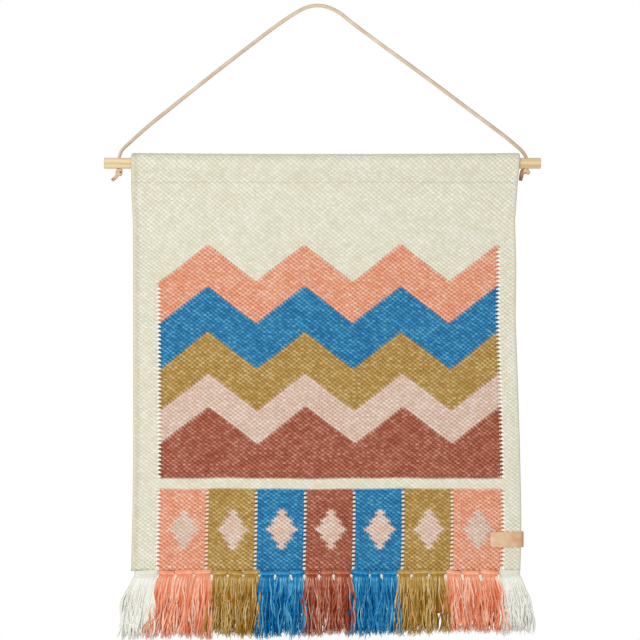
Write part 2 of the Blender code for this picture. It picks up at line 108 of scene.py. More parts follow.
class NodeBoard:
    """The node tree of one material, with short calls for the nodes that the finishes need."""

    def __init__(self, name: str) -> None:
        """Start a material with an empty board round its shader.

        Args:
            name: The material's name.
        """
        self.material = bpy.data.materials.new(name)
        self.material.use_nodes = True
        self.tree = self.material.node_tree
        self.shader = self.tree.nodes["Principled BSDF"]

    def feed(self, socket: bpy.types.NodeSocket, value: object) -> None:
        """Wire another node's output into a socket, or set the socket to a plain value.

        Args:
            socket: The input socket.
            value: An output socket, a number or a colour.
        """
        if isinstance(value, bpy.types.NodeSocket):
            self.tree.links.new(value, socket)
        else:
            socket.default_value = value

    def node(self, kind: str, *inputs: object, **settings: object) -> bpy.types.Node:
        """Add a node.

        Args:
            kind: Blender's name of the node.
            inputs: Values for its first inputs in order, None to leave one as it is.
            settings: The node's own settings.

        Returns:
            The new node.
        """
        made = self.tree.nodes.new(kind)
        for name, value in settings.items():
            setattr(made, name, value)
        for socket, value in zip(made.inputs, inputs):
            if value is not None:
                self.feed(socket, value)
        return made

    def math(self, operation: str, *values: object) -> bpy.types.NodeSocket:
        """Return the result of a math node on up to three values."""
        return self.node("ShaderNodeMath", *values, operation=operation).outputs[0]

    def add(self, first: object, second: object) -> bpy.types.NodeSocket:
        """Return the sum of two values."""
        return self.math("ADD", first, second)

    def less(self, first: object, second: object) -> bpy.types.NodeSocket:
        """Return the first value less the second."""
        return self.math("SUBTRACT", first, second)

    def times(self, first: object, second: object) -> bpy.types.NodeSocket:
        """Return the product of two values."""
        return self.math("MULTIPLY", first, second)

    def scaled(self, value: object, factor: object, base: object) -> bpy.types.NodeSocket:
        """Return a value times a factor, on top of a base."""
        return self.math("MULTIPLY_ADD", value, factor, base)

    def apart(self, first: object, second: object) -> bpy.types.NodeSocket:
        """Return how far apart two values are."""
        return self.math("ABSOLUTE", self.less(first, second))

    def hump(self, value: object, power: float) -> bpy.types.NodeSocket:
        """Return 1 at zero, falling to 0 at a half on each side, later for a higher power."""
        return self.scaled(self.math("POWER", self.math("ABSOLUTE", value), power), -(2.0**power), 1.0)

    def attribute(self, name: str) -> bpy.types.NodeSocket:
        """Return a value that the mesh holds at each point."""
        return self.node("ShaderNodeAttribute", attribute_name=name).outputs["Fac"]

    def place(self) -> bpy.types.NodeSocket:
        """Return the point on the object, in metres."""
        return self.node("ShaderNodeTexCoord").outputs["Object"]

    def map_place(self, name: str) -> list[bpy.types.NodeSocket]:
        """Return the two parts of the piece's own map."""
        mapped = self.node("ShaderNodeUVMap", uv_map=name).outputs[0]
        return list(self.node("ShaderNodeSeparateXYZ", mapped).outputs)[:2]

    def stretch(self, vector: bpy.types.NodeSocket, scale: Point) -> bpy.types.NodeSocket:
        """Return a vector scaled along each axis."""
        return self.node("ShaderNodeVectorMath", vector, scale, operation="MULTIPLY").outputs[0]

    def vector(self, *parts: object) -> bpy.types.NodeSocket:
        """Return a vector made of up to three parts."""
        return self.node("ShaderNodeCombineXYZ", *parts).outputs[0]

    def noise(self, vector: bpy.types.NodeSocket, scale: float, detail: float = 2.0) -> bpy.types.NodeSocket:
        """Return smooth noise from 0 to 1 at a scale in turns a metre."""
        made = self.node("ShaderNodeTexNoise", vector)
        made.inputs["Scale"].default_value = scale
        made.inputs["Detail"].default_value = detail
        return made.outputs[0]

    def sway(self, vector: bpy.types.NodeSocket, scale: float, reach: float) -> bpy.types.NodeSocket:
        """Return smooth noise about zero that reaches so far to each side."""
        return self.scaled(self.noise(vector, scale), reach * 4, -reach * 2)

    def remap(self, value: object, low: float, high: float, start: float, end: float) -> bpy.types.NodeSocket:
        """Carry a value's range from low and high to start and end, and hold it there."""
        return self.node("ShaderNodeMapRange", value, low, high, start, end).outputs[0]

    def deepen(self, colour: object, power: object) -> bpy.types.NodeSocket:
        """Return a colour deepened by a power above 1, or lightened by one below it; the finishes use it for
        tone and for painted shade.
        """
        return self.node("ShaderNodeGamma", colour, power).outputs[0]

    def vary(self, power: object, *parts: tuple[object, float]) -> bpy.types.NodeSocket:
        """Return a power changed by parts from 0 to 1, each by its share about the part's middle."""
        for part, share in parts:
            power = self.scaled(self.less(part, 0.5), share, power)
        return power

    def blend(self, part: object, first: object, second: object) -> bpy.types.NodeSocket:
        """Return a mix of two colours by a part from 0 to 1."""
        made = self.node("ShaderNodeMix", data_type="RGBA")
        self.feed(made.inputs[0], part)
        self.feed(made.inputs[6], first)
        self.feed(made.inputs[7], second)
        return made.outputs[2]

    def relief(self, height: bpy.types.NodeSocket, depth: float) -> None:
        """Bend the shader's light by a height from 0 to 1 over a depth in metres."""
        bump = self.node("ShaderNodeBump")
        bump.inputs["Distance"].default_value = depth
        self.feed(bump.inputs["Height"], height)
        self.feed(self.shader.inputs["Normal"], bump.outputs[0])

    def dress(self, colour: object, roughness: object, **fixed: float) -> bpy.types.Material:
        """Set the shader's colour and roughness, and its fixed values by name.

        Args:
            colour: Base colour, wired or plain.
            roughness: Roughness, wired or plain.
            fixed: Other inputs of the shader, with an underscore for each space.

        Returns:
            The finished material.
        """
        self.feed(self.shader.inputs["Base Color"], colour)
        self.feed(self.shader.inputs["Roughness"], roughness)
        for name, value in fixed.items():
            self.shader.inputs[name.replace("_", " ")].default_value = value
        return self.material


# Finishes

@dataclass(frozen=True)
class WeaveFinish:
    """Wool flat weave: slanting floats, each in its own tone, with painted shade in their crevices and loose
    fibres.

    Lengths are counted in columns and rows of the weave, and powers deepen the yarn's colour: those that
    follow the floats' form paint shade into the crevices and light onto the crowns.
    """

    # Powers on the floats' crowns and in their crevices: painted light and painted shade.
    light_power: float = 0.78
    dark_power: float = 1.35
    # Painted shade along the floats' borders, and where it begins and ends.
    crease: float = 0.12
    crease_reach: tuple[float, float] = (0.37, 0.50)
    slant: float = 0.22
    ridge_share: float = 0.62
    wander: float = 0.16
    dyed_wander: float = 1.1
    wander_scales: tuple[float, float] = (150.0, 190.0)
    shares: tuple[float, ...] = (0.34, -0.9, -0.40, 0.40)
    # Painted shadow in the slits at the upright joins: where, how far, and how dark.
    slit_middle: float = 0.25
    slit_reach: tuple[float, float] = (0.12, 0.27)
    slit_power: float = 0.8
    slit_shade: float = 0.7
    # Painted shade in the groove inside the left selvedge, where the edge turns from the light.
    turn_column: float = 1.4
    turn_reach: tuple[float, float] = (0.2, 1.5)
    turn_shade_power: float = 0.38
    # Painted shade: how far the darker yarns' crevices are blended to black.
    shade: float = 0.5
    depth: float = 0.0006

    def material(self) -> bpy.types.Material:
        """Return the cloth's material, which reads its yarn colour and joins from the mesh."""
        board = NodeBoard("wool_weave")
        across, up = board.map_place("weave")
        from_slit = board.apart(board.math("FRACT", board.times(up, 0.5)), self.slit_middle)
        from_turn = board.apart(across, self.turn_column)
        yarn, yarn_shade = board.node("ShaderNodeVertexColor", layer_name="yarn").outputs[:2]
        spot = board.place()
        wilder = board.scaled(yarn_shade, self.dyed_wander, 1.0)
        across = board.scaled(board.sway(spot, self.wander_scales[0], self.wander), wilder, across)
        turned_spot = board.stretch(spot, (1.0, 1.0, -1.0))
        up = board.scaled(board.sway(turned_spot, self.wander_scales[1], self.wander), wilder, up)

        rise = board.times(board.add(across, up), 0.5)
        fall = board.times(board.less(across, up), 0.5)
        rise_cell, fall_cell = board.math("ROUND", rise), board.math("ROUND", fall)
        end = board.less(fall, fall_cell)
        side = board.scaled(end, -self.slant, board.less(rise, rise_cell))
        length = board.times(board.hump(end, 3.0), 1 - self.ridge_share)
        form = board.scaled(board.hump(side, 2.0), self.ridge_share, length)
        border = board.math("MAXIMUM", board.math("ABSOLUTE", side), board.math("ABSOLUTE", end))
        crease = board.remap(border, *self.crease_reach, 0.0, 1.0)

        cell = board.vector(rise_cell, fall_cell)
        tone = board.node("ShaderNodeTexWhiteNoise", cell, noise_dimensions="2D").outputs[0]
        lengthwise = board.vector(
            board.scaled(rise_cell, 3.1, board.times(side, 9.0)),
            board.scaled(fall_cell, 5.7, board.times(end, 1.5)),
        )
        fibres = board.noise(lengthwise, 1.6, 3.0)
        fuzz = board.noise(spot, 1500.0, 3.0)
        cloud = board.noise(spot, 42.0, 3.0)

        # Painted shade and light: the colour deepens where the float's form falls into a crevice and lightens
        # on its crown.
        power = board.remap(form, 0.0, 0.95, self.dark_power, self.light_power)
        power = board.vary(power, *zip((tone, fibres, fuzz, cloud), self.shares))
        # Painted shade darkens the borders between floats.
        power = board.scaled(crease, self.crease, power)
        smooth = board.attribute("selvedge")
        power = board.add(power, board.times(smooth, board.less(1.0, power)))
        # Painted shadow in the slits between teeth at upright joins.
        slit = board.times(board.attribute("join"), board.remap(from_slit, *self.slit_reach, 1.0, 0.0))
        power = board.scaled(slit, self.slit_power, power)
        # Painted shade near the left selvedge.
        power = board.add(power, board.remap(from_turn, *self.turn_reach, self.turn_shade_power, 0.0))
        # Painted shade: crevices of darker yarns are blended towards black, and the slits too.
        crevice_shade = board.times(board.remap(form, 0.0, 1.0, self.shade, 0.0), yarn_shade)
        crevice_shade = board.math("MAXIMUM", crevice_shade, board.times(slit, self.slit_shade))
        colour = board.blend(crevice_shade, board.deepen(yarn, power), (0.0, 0.0, 0.0, 1.0))

        height = form
        for part, share in ((fibres, 0.50), (crease, -0.12), (fuzz, 0.10)):
            height = board.scaled(part, share, height)
        board.relief(board.times(height, board.scaled(smooth, -0.6, 1.0)), self.depth)
        return board.dress(colour, 0.92, Sheen_Weight=0.12, Sheen_Roughness=0.6, Specular_IOR_Level=0.2)


@dataclass(frozen=True)
class YarnFinish:
    """Loose wool yarn: two plies twisted together, each strand in its own tone, with fuzz, and painted shade
    where the mesh's rim attribute darkens it and in the grooves between plies.

    Pairs hold the value for dyed wool and the one for natural wool.
    """

    yarn: Yarn
    loose_natural: Colour = linear(229, 228, 217)
    powers: tuple[float, float] = (0.79, 0.82)
    # How much deeper the rim attribute makes the yarn: painted shade on the core, the back layers and the
    # locks' edges, with some darker tone.
    deep_powers: tuple[float, float] = (0.92, 1.2)
    changes: tuple[float, float] = (1.0, 0.45)
    loose_power: float = -0.14
    # Painted light on the plies' crowns and painted shade in the grooves between them.
    ply_power: float = -0.10
    shares: tuple[float, ...] = (0.60, -0.60, -0.40, 0.70)
    depth: float = 0.00012

    def material(self) -> bpy.types.Material:
        """Return the material of a tassel. Its map counts strands across and twists along."""
        kind = 1 if self.yarn is Yarn.NATURAL else 0
        board = NodeBoard("yarn_" + self.yarn.name.lower())
        across, along = board.map_place("strand")
        strand = board.math("FLOOR", across)
        tone = board.node("ShaderNodeTexWhiteNoise", None, strand, noise_dimensions="1D").outputs[0]
        turn = board.scaled(across, 2.0, along)
        ply = board.math("COSINE", board.times(turn, 2 * math.pi))
        spot = board.place()
        lengthwise = board.vector(board.times(turn, 5.0), board.times(along, 1.3), strand)
        fibres = board.noise(lengthwise, 1.0, 3.0)
        fuzz = board.noise(board.stretch(spot, (1.0, 1.0, 0.3)), 1700.0, 3.0)
        cloud = board.noise(spot, 70.0, 2.0)
        loose = board.math("LESS_THAN", across, 0.0)
        power = board.scaled(loose, self.loose_power, self.powers[kind])
        # Painted shade, with some darker tone: the rim attribute deepens the core, the back strands and the
        # locks' edges.
        power = board.scaled(board.attribute("rim"), self.deep_powers[kind], power)
        # Painted shade in the grooves between plies, painted light on their crowns.
        power = board.scaled(ply, self.ply_power, power)
        shares = (share * self.changes[kind] for share in self.shares)
        power = board.vary(power, *zip((tone, fibres, fuzz, cloud), shares))
        colour = board.deepen(self.loose_natural if kind else self.yarn.colour, power)
        height = board.scaled(ply, 0.35, board.times(fibres, 0.7))
        board.relief(board.times(height, board.less(1.0, loose)), self.depth)
        return board.dress(colour, 0.95, Specular_IOR_Level=0.02)


@dataclass(frozen=True)
class ThreadFinish:
    """Twisted cotton thread with a soft uneven tone, and painted shade in the grooves of its twist."""

    name: str
    colour: Colour
    # Power in the twist's grooves: painted shade.
    dark: float = 1.35

    def material(self) -> bpy.types.Material:
        """Return the thread's material, its twist drawn by slanting bands."""
        board = NodeBoard(self.name)
        spot = board.place()
        bands = board.node("ShaderNodeTexWave", spot, bands_direction="DIAGONAL")
        bands.inputs["Scale"].default_value = 260.0
        bands.inputs["Distortion"].default_value = 3.0
        fuzz = board.noise(spot, 1600.0, 3.0)
        # Painted shade: the bands' low parts, the grooves of the bump, are drawn darker.
        power = board.vary(board.remap(bands.outputs["Fac"], 0.0, 1.0, self.dark, 0.85), (fuzz, -0.5))
        board.relief(board.add(bands.outputs["Fac"], fuzz), 0.0003)
        return board.dress(board.deepen(self.colour, power), 0.85, Specular_IOR_Level=0.25)


@dataclass(frozen=True)
class LeatherFinish:
    """Vegetable-tanned leather: cloudy tone, fine grain, and darker places where the rim attribute says: the
    cut edges' own tone, and painted shade.
    """

    name: str
    face: Colour
    edge: Colour
    clouds: float = 60.0

    def material(self) -> bpy.types.Material:
        """Return the leather, darker where the mesh's rim attribute runs from 0 up to 1."""
        board = NodeBoard(self.name)
        spot = board.place()
        cloud = board.noise(spot, self.clouds, 3.0)
        grain = board.node("ShaderNodeTexVoronoi", spot)
        grain.inputs["Scale"].default_value = 1900.0
        fibres = board.noise(spot, 900.0, 4.0)
        # The rim attribute blends towards the edge colour: cut edges' own tone, and painted shade on the
        # lace's shaded edge, on the knots and round the tag's fold.
        tone = board.blend(board.attribute("rim"), self.face, self.edge)
        power = board.vary(board.remap(cloud, 0.3, 0.7, 0.80, 1.22), (fibres, -0.45))
        board.relief(board.scaled(grain.outputs["Distance"], 0.7, fibres), 0.00012)
        roughness = board.remap(fibres, 0.3, 0.7, 0.48, 0.62)
        return board.dress(board.deepen(tone, power), roughness, Specular_IOR_Level=0.35)


@dataclass(frozen=True)
class WoodFinish:
    """Pale sanded dowel: lengthwise grain in soft streaks, darker at the sawn ends."""

    light: Colour = linear(236, 217, 180)
    warm: Colour = linear(226, 200, 156)
    ring: Colour = linear(211, 181, 134)
    end: Colour = linear(200, 168, 118)
    end_from: float = 0.2804
    end_blend: float = 0.0003
    layer_slope: float = -0.0047
    layer_drop: float = 0.0021
    layer_reach: tuple[float, float] = (0.0004, 0.0030)

    def material(self, middle: float, axis_z: float) -> bpy.types.Material:
        """Return the rod's wood, with one darker growth layer running through it.

        Args:
            middle: Where the rod's middle lies along its length, in metres.
            axis_z: The height of its axis.
        """
        board = NodeBoard("pale_wood")
        spot = board.place()
        streaks = board.noise(board.stretch(spot, (5.0, 150.0, 210.0)), 1.0, 4.0)
        pores = board.noise(board.stretch(spot, (40.0, 900.0, 900.0)), 1.0, 2.0)
        colour = board.blend(board.remap(streaks, 0.36, 0.64, 0.0, 1.0), self.warm, self.light)
        along, _, height = board.node("ShaderNodeSeparateXYZ", spot).outputs
        layer = board.scaled(along, self.layer_slope, axis_z - self.layer_drop)
        layer = board.add(layer, board.sway(board.stretch(spot, (1.0, 0.0, 0.0)), 14.0, 0.0005))
        in_layer = board.remap(board.apart(height, layer), *self.layer_reach, 1.0, 0.0)
        colour = board.blend(in_layer, colour, self.ring)
        reach = board.apart(along, middle)
        sawn = board.remap(reach, self.end_from, self.end_from + self.end_blend, 0.0, 1.0)
        colour = board.blend(sawn, colour, self.end)
        power = board.remap(pores, 0.3, 0.7, 1.16, 0.9)
        board.relief(board.add(streaks, pores), 0.00010)
        roughness = board.remap(pores, 0.3, 0.7, 0.62, 0.5)
        return board.dress(board.deepen(colour, power), roughness, Specular_IOR_Level=0.3)


@dataclass(frozen=True)
class FloorFinish:
    """Pale matt studio floor with the faintest mottling."""

    colour: Colour = linear(246, 246, 245)

    def material(self) -> bpy.types.Material:
        """Return the floor's material."""
        board = NodeBoard("studio_floor")
        power = board.remap(board.noise(board.place(), 3.0, 3.0), 0.3, 0.7, 0.96, 1.04)
        return board.dress(board.deepen(self.colour, power), 0.9)


# Mesh helpers

def rounded(values: numpy.ndarray, power: float) -> numpy.ndarray:
    """Raise values to a power and keep their signs."""
    return numpy.sign(values) * numpy.abs(values) ** power


def travel(path: numpy.ndarray) -> numpy.ndarray:
    """Return how far along a path each of its points lies."""
    steps = numpy.linalg.norm(numpy.diff(path, axis=0), axis=1)
    return numpy.concatenate([[0.0], numpy.cumsum(steps)])


def read_path(places: numpy.ndarray, known: numpy.ndarray, path: numpy.ndarray) -> numpy.ndarray:
    """Return a path's points at places, read between its points at known ones."""
    return numpy.stack([numpy.interp(places, known, axis) for axis in path.T], axis=1)


def round_angles(count: int) -> numpy.ndarray:
    """Return evenly spaced angles of one whole turn."""
    return numpy.linspace(0, 2 * math.pi, count, endpoint=False)


class YarnMesh:
    """Gathers swept yarns and straps, and makes one mesh of closed shells of them."""

    def __init__(self, map_name: str) -> None:
        """Start an empty mesh.

        Args:
            map_name: The name of its map, which counts strands across and twists along.
        """
        self.map_name = map_name
        self.points: list[numpy.ndarray] = []
        self.faces: list[tuple[int, ...]] = []
        self.corners: list[tuple[float, float]] = []
        self.rims: list[float] = []
        self.count = 0
        self.strands = 0

    def sweep(
        self,
        path: numpy.ndarray,
        wide: numpy.ndarray,
        thick: numpy.ndarray,
        sides: int,
        facing: Point = (0.0, -1.0, 0.0),
        twist: numpy.ndarray | None = None,
        square: float = 2.0,
        pitch: float = 0.009,
        ring: bool = False,
        tone_and_shade: float | numpy.ndarray = 0.0,
        edges: tuple[float | numpy.ndarray, float | numpy.ndarray] = (0.0, 0.0),
        grade: float = 3.0,
        yarns: int = 1,
        loose: bool = False,
    ) -> None:
        """Sweep a round or squarish section along a path.

        Args:
            path: The points of the path, a row each.
            wide: Half width at each point.
            thick: Half thickness at each point, measured towards facing.
            sides: Corners of the section.
            facing: The way that the section's thin side looks at the path's start.
            twist: Turn of the section at each point, in radians.
            square: 2 for an ellipse, more for a squarer section.
            pitch: Length of one twist of the plies.
            ring: True where the path's end runs into its start.
            tone_and_shade: How dark the whole of it is, from 0 to 1, or how dark at each point.
            edges: How dark each of its two edges is, from 0 to 1, or how dark at each point, for a cut edge's
                own tone and for painted shade.
            grade: 1 for a darkness that grows evenly to the edges, more to keep it near them.
            yarns: How many yarns lie side by side round the section.
            loose: True for a single fibre, which is lighter.
        """
        count = len(path)
        if ring:
            along = numpy.roll(path, -1, axis=0) - numpy.roll(path, 1, axis=0)
        else:
            along = numpy.gradient(path, axis=0)
        along /= numpy.linalg.norm(along, axis=1)[:, None]
        normal = numpy.array(facing, float)
        normals = []
        for tangent in along:
            normal = normal - tangent * (normal @ tangent)
            normal /= numpy.linalg.norm(normal)
            normals.append(normal)
        out = numpy.array(normals)
        side = numpy.cross(along, out)
        angles = numpy.arange(sides) * (2 * math.pi / sides)
        flat = rounded(numpy.cos(angles), 2 / square)
        deep = rounded(numpy.sin(angles), 2 / square)
        turned = numpy.zeros(count) if twist is None else twist
        wides = wide[:, None] * flat[None, :]
        deeps = thick[:, None] * deep[None, :]
        cosine = numpy.cos(turned)[:, None]
        sine = numpy.sin(turned)[:, None]
        across = (wides * cosine - deeps * sine)[:, :, None]
        towards = (wides * sine + deeps * cosine)[:, :, None]
        rings = path[:, None, :] + side[:, None, :] * across + out[:, None, :] * towards
        self.points.append(rings.reshape(-1, 3))
        # Darker tones and painted shade, of the whole section and of its edges, gather in the rim attribute.
        first, second, tone_and_shade_rows = (numpy.broadcast_to(value, (count,))[:, None] for value in (*edges, tone_and_shade))
        rim = numpy.abs(flat)[None, :] ** grade * numpy.where(flat[None, :] > 0, first, second)
        self.rims.extend(numpy.minimum(1.0, rim + tone_and_shade_rows).ravel().tolist())
        self.join_rings(count, sides, travel(path) / pitch, ring, loose, yarns)
        self.count += count * sides
        self.strands += yarns

    def join_rings(
        self, count: int, sides: int, travelled: numpy.ndarray, ring: bool, loose: bool, yarns: int
    ) -> None:
        """Add the faces between a sweep's rings, and its two caps unless it runs into itself.

        Args:
            count: Number of rings.
            sides: Corners of each ring.
            travelled: Twists passed up to each ring.
            ring: True where the last ring joins the first.
            loose: True for a single fibre, whose map places lie below zero.
            yarns: How many yarns lie side by side round the section.
        """
        base = self.count
        mark = -self.strands - 1 if loose else self.strands
        last = travelled[-1] + (travelled[-1] - travelled[-2])
        for step in range(count if ring else count - 1):
            start = base + step * sides
            end = base + ((step + 1) % count) * sides
            low = travelled[step]
            high = travelled[step + 1] if step + 1 < count else last
            for side in range(sides):
                beside = (side + 1) % sides
                left = mark + (0.01 + 0.98 * side / sides) * yarns
                right = mark + (0.01 + 0.98 * (side + 1) / sides) * yarns
                self.faces.append((start + side, start + beside, end + beside, end + side))
                self.corners.extend(((left, low), (right, low), (right, high), (left, high)))
        if not ring:
            for step, order in ((0, range(sides - 1, -1, -1)), (count - 1, range(sides))):
                self.faces.append(tuple(base + step * sides + side for side in order))
                self.corners.extend([(mark + 0.5, travelled[step])] * sides)

    def finish(self, name: str, material: bpy.types.Material) -> bpy.types.Object:
        """Make the object.

        Args:
            name: The piece's name.
            material: Its material.

        Returns:
            The finished piece at the origin.
        """
        mesh = bpy.data.meshes.new(name)
        mesh.from_pydata(numpy.concatenate(self.points).tolist(), [], self.faces)
        give_map(mesh, self.map_name, self.corners)
        give_values(mesh, "rim", self.rims)
        work = bmesh.new()
        work.from_mesh(mesh)
        bmesh.ops.recalc_face_normals(work, faces=work.faces)
        work.to_mesh(mesh)
        work.free()
        mesh.shade_smooth()
        return link(name, mesh, material)


def give_map(mesh: bpy.types.Mesh, name: str, corners: list[tuple[float, float]]) -> None:
    """Give a mesh a map, with a place for each corner of its faces."""
    places = numpy.array(corners, numpy.float32).ravel()
    mesh.uv_layers.new(name=name).data.foreach_set("uv", places)


def give_values(mesh: bpy.types.Mesh, name: str, values: object) -> None:
    """Give a mesh an attribute, with a value for each of its points."""
    row = mesh.attributes.new(name, "FLOAT", "POINT")
    row.data.foreach_set("value", numpy.array(values, numpy.float32))


def link(name: str, mesh: bpy.types.Mesh, material: bpy.types.Material) -> bpy.types.Object:
    """Put a mesh into the scene at the origin with its material."""
    piece = bpy.data.objects.new(name, mesh)
    bpy.context.scene.collection.objects.link(piece)
    mesh.materials.append(material)
    return piece


def hold(piece: bpy.types.Object, slot: str, *nodes: str) -> bpy.types.Object:
    """Let a finished piece ride on the hanging, in place of its plain solids.

    Args:
        piece: The finished piece.
        slot: The record's material slot; not used.
        nodes: The solids that it stands for.

    Returns:
        The same piece.
    """
    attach(piece, BODY)
    if nodes:
        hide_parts(*nodes)
    LOG.info("%s: %d faces", piece.name, len(piece.data.polygons))
    return piece


def pick(*pieces: bpy.types.Object) -> None:
    """Select pieces and nothing else, and make the first of them active."""
    bpy.ops.object.select_all(action="DESELECT")
    for piece in pieces:
        piece.select_set(True)
    bpy.context.view_layer.objects.active = pieces[0]


def settle(piece: bpy.types.Object) -> bpy.types.Object:
    """Apply a piece's own place, turn and scale to its mesh, and return it."""
    pick(piece)
    bpy.ops.object.transform_apply(location=True, rotation=True, scale=True)
    return piece


def apply_modifiers(piece: bpy.types.Object) -> None:
    """Apply all the modifiers of a piece in their order."""
    pick(piece)
    for modifier in list(piece.modifiers):
        bpy.ops.object.modifier_apply(modifier=modifier.name)


def join_pieces(pieces: list[bpy.types.Object]) -> bpy.types.Object:
    """Join pieces into the first of them, and return it."""
    pick(*pieces)
    bpy.ops.object.join()
    return pieces[0]


def redress(piece: bpy.types.Object, material: bpy.types.Material) -> None:
    """Give a piece one material in place of any that it has."""
    piece.data.materials.clear()
    piece.data.materials.append(material)


def scatter(
    model: bpy.types.Object, name: str, places: list[Matrix], material: bpy.types.Material
) -> bpy.types.Object:
    """Copy a model to places, and join the copies into one smooth piece.

    Args:
        model: The piece to copy, which is taken away afterwards.
        name: The new piece's name.
        places: Where each copy goes, with its turn and size.
        material: The new piece's material.

    Returns:
        The new piece.
    """
    copies = []
    for place in places:
        mesh = model.data.copy()
        mesh.transform(place)
        copy = bpy.data.objects.new(name, mesh)
        bpy.context.scene.collection.objects.link(copy)
        copies.append(copy)
    bpy.data.objects.remove(model)
    piece = join_pieces(copies)
    piece.name = name
    redress(piece, material)
    piece.data.shade_smooth()
    return piece


@contextmanager
def edit_mode(action: str = "SELECT") -> Iterator[None]:
    """Hold the active piece in edit mode, its mesh all selected, all deselected or left as it was.

    Args:
        action: SELECT, DESELECT, or an empty text to leave it.
    """
    bpy.ops.object.mode_set(mode="EDIT")
    if action:
        bpy.ops.mesh.select_all(action=action)
    yield
    bpy.ops.object.mode_set(mode="OBJECT")


# Form of the cloth

@dataclass(frozen=True)
class Wave:
    """One slow wave of the hanging cloth."""

    depth: float
    across: float
    down: float
    start: float
    growth: float


@dataclass(frozen=True)
class ClothForm:
    """The hang and the edges of the cloth, as the solids have them."""

    rod_axis_z: float = -0.2014
    radius: float = 0.010
    thickness: float = 0.004
    top_z: float = -0.1894
    seam_z: float = -0.2270
    flap: float = 0.007
    hem_z: float = -0.7262
    end_lift: float = 0.0014
    waves: tuple[Wave, ...] = (Wave(0.0024, 0.9, 0.35, 0.10, 1.0), Wave(0.0012, 2.3, -0.50, 0.30, 2.0))
    drops: tuple[float, ...] = (0.0, 0.045, 0.086, 0.148, 0.210, 0.292, 0.374, 0.457, 0.498, 0.537)
    lefts: tuple[float, ...] = (
        -0.2380, -0.2384, -0.2362, -0.2360, -0.2360, -0.2358, -0.2358, -0.2366, -0.2376, -0.2384,
    )
    rights: tuple[float, ...] = (
        0.2620, 0.2590, 0.2560, 0.2576, 0.2567, 0.2597, 0.2624, 0.2642, 0.2643, 0.2630,
    )

    def edges(self, z: numpy.ndarray) -> tuple[numpy.ndarray, numpy.ndarray]:
        """Return the left and right edge of the cloth at heights."""
        drop = self.top_z - z
        return numpy.interp(drop, self.drops, self.lefts), numpy.interp(drop, self.drops, self.rights)

    def depth(self, x: numpy.ndarray, z: numpy.ndarray) -> numpy.ndarray:
        """Return how far the cloth stands from its flat plane at places on it."""
        fall = numpy.maximum(0.0, (self.seam_z - self.flap - z) / (self.seam_z - self.hem_z))
        left, right = self.edges(z)
        across = (x - left) / (right - left)
        depth = numpy.zeros_like(across)
        for wave in self.waves:
            turns = wave.across * across + wave.down * fall + wave.start
            depth = depth + wave.depth * fall**wave.growth * numpy.sin(2 * math.pi * turns)
        return depth

    def depth_at(self, x: float, z: float) -> float:
        """Return the cloth's depth at one place."""
        return float(self.depth(numpy.array([x]), numpy.array([z]))[0])


# The pattern

@dataclass(frozen=True)
class Chart:
    """The weaver's chart: which yarn makes each float, in columns from the left and rows from the hem."""

    columns: int = 143
    field_left: int = 10
    motif: int = 18
    motifs: int = 7
    block_rows: int = 40
    stripe_rows: int = 5
    peak_row: int = 156
    bands: tuple[tuple[Yarn, int], ...] = (
        (Yarn.CORAL, 20), (Yarn.BLUE, 22), (Yarn.OCHRE, 20), (Yarn.PINK, 16), (Yarn.RUST, 200),
    )
    blocks: tuple[Yarn, ...] = (
        Yarn.CORAL, Yarn.OCHRE, Yarn.BLUE, Yarn.RUST, Yarn.BLUE, Yarn.OCHRE, Yarn.CORAL,
    )
    diamond_half: int = 5

    def yarns(self, column: numpy.ndarray, row: numpy.ndarray) -> numpy.ndarray:
        """Return the number of the yarn of each float, in the order of YARNS.

        Args:
            column: The float's column.
            row: The float's row.

        Returns:
            The yarns' numbers, in the same shape.
        """
        across = column - self.field_left
        inside = (across >= 0) & (across <= self.motif * self.motifs)
        motif = numpy.clip(across // self.motif, 0, self.motifs - 1)
        within = across - motif * self.motif
        rise = numpy.where(motif % 2 == 0, self.motif - within, within)
        fall = self.peak_row - row - rise
        chosen = numpy.full(numpy.shape(across), YARNS.index(Yarn.NATURAL))
        start = 0
        for yarn, rows in self.bands:
            chosen = numpy.where((fall >= start) & (fall < start + rows), YARNS.index(yarn), chosen)
            start += rows
        low = row < self.block_rows + self.stripe_rows
        chosen = numpy.where(low, YARNS.index(Yarn.NATURAL), chosen)
        block = numpy.array([YARNS.index(yarn) for yarn in self.blocks])[motif]
        beside = numpy.abs(within - self.motif / 2)
        above = numpy.abs(row - self.block_rows / 2)
        diamond = beside + above / 2 <= self.diamond_half
        block = numpy.where(diamond, YARNS.index(Yarn.PINK), block)
        chosen = numpy.where(row < self.block_rows, block, chosen)
        return numpy.where(inside, chosen, YARNS.index(Yarn.NATURAL))


# The woven panel

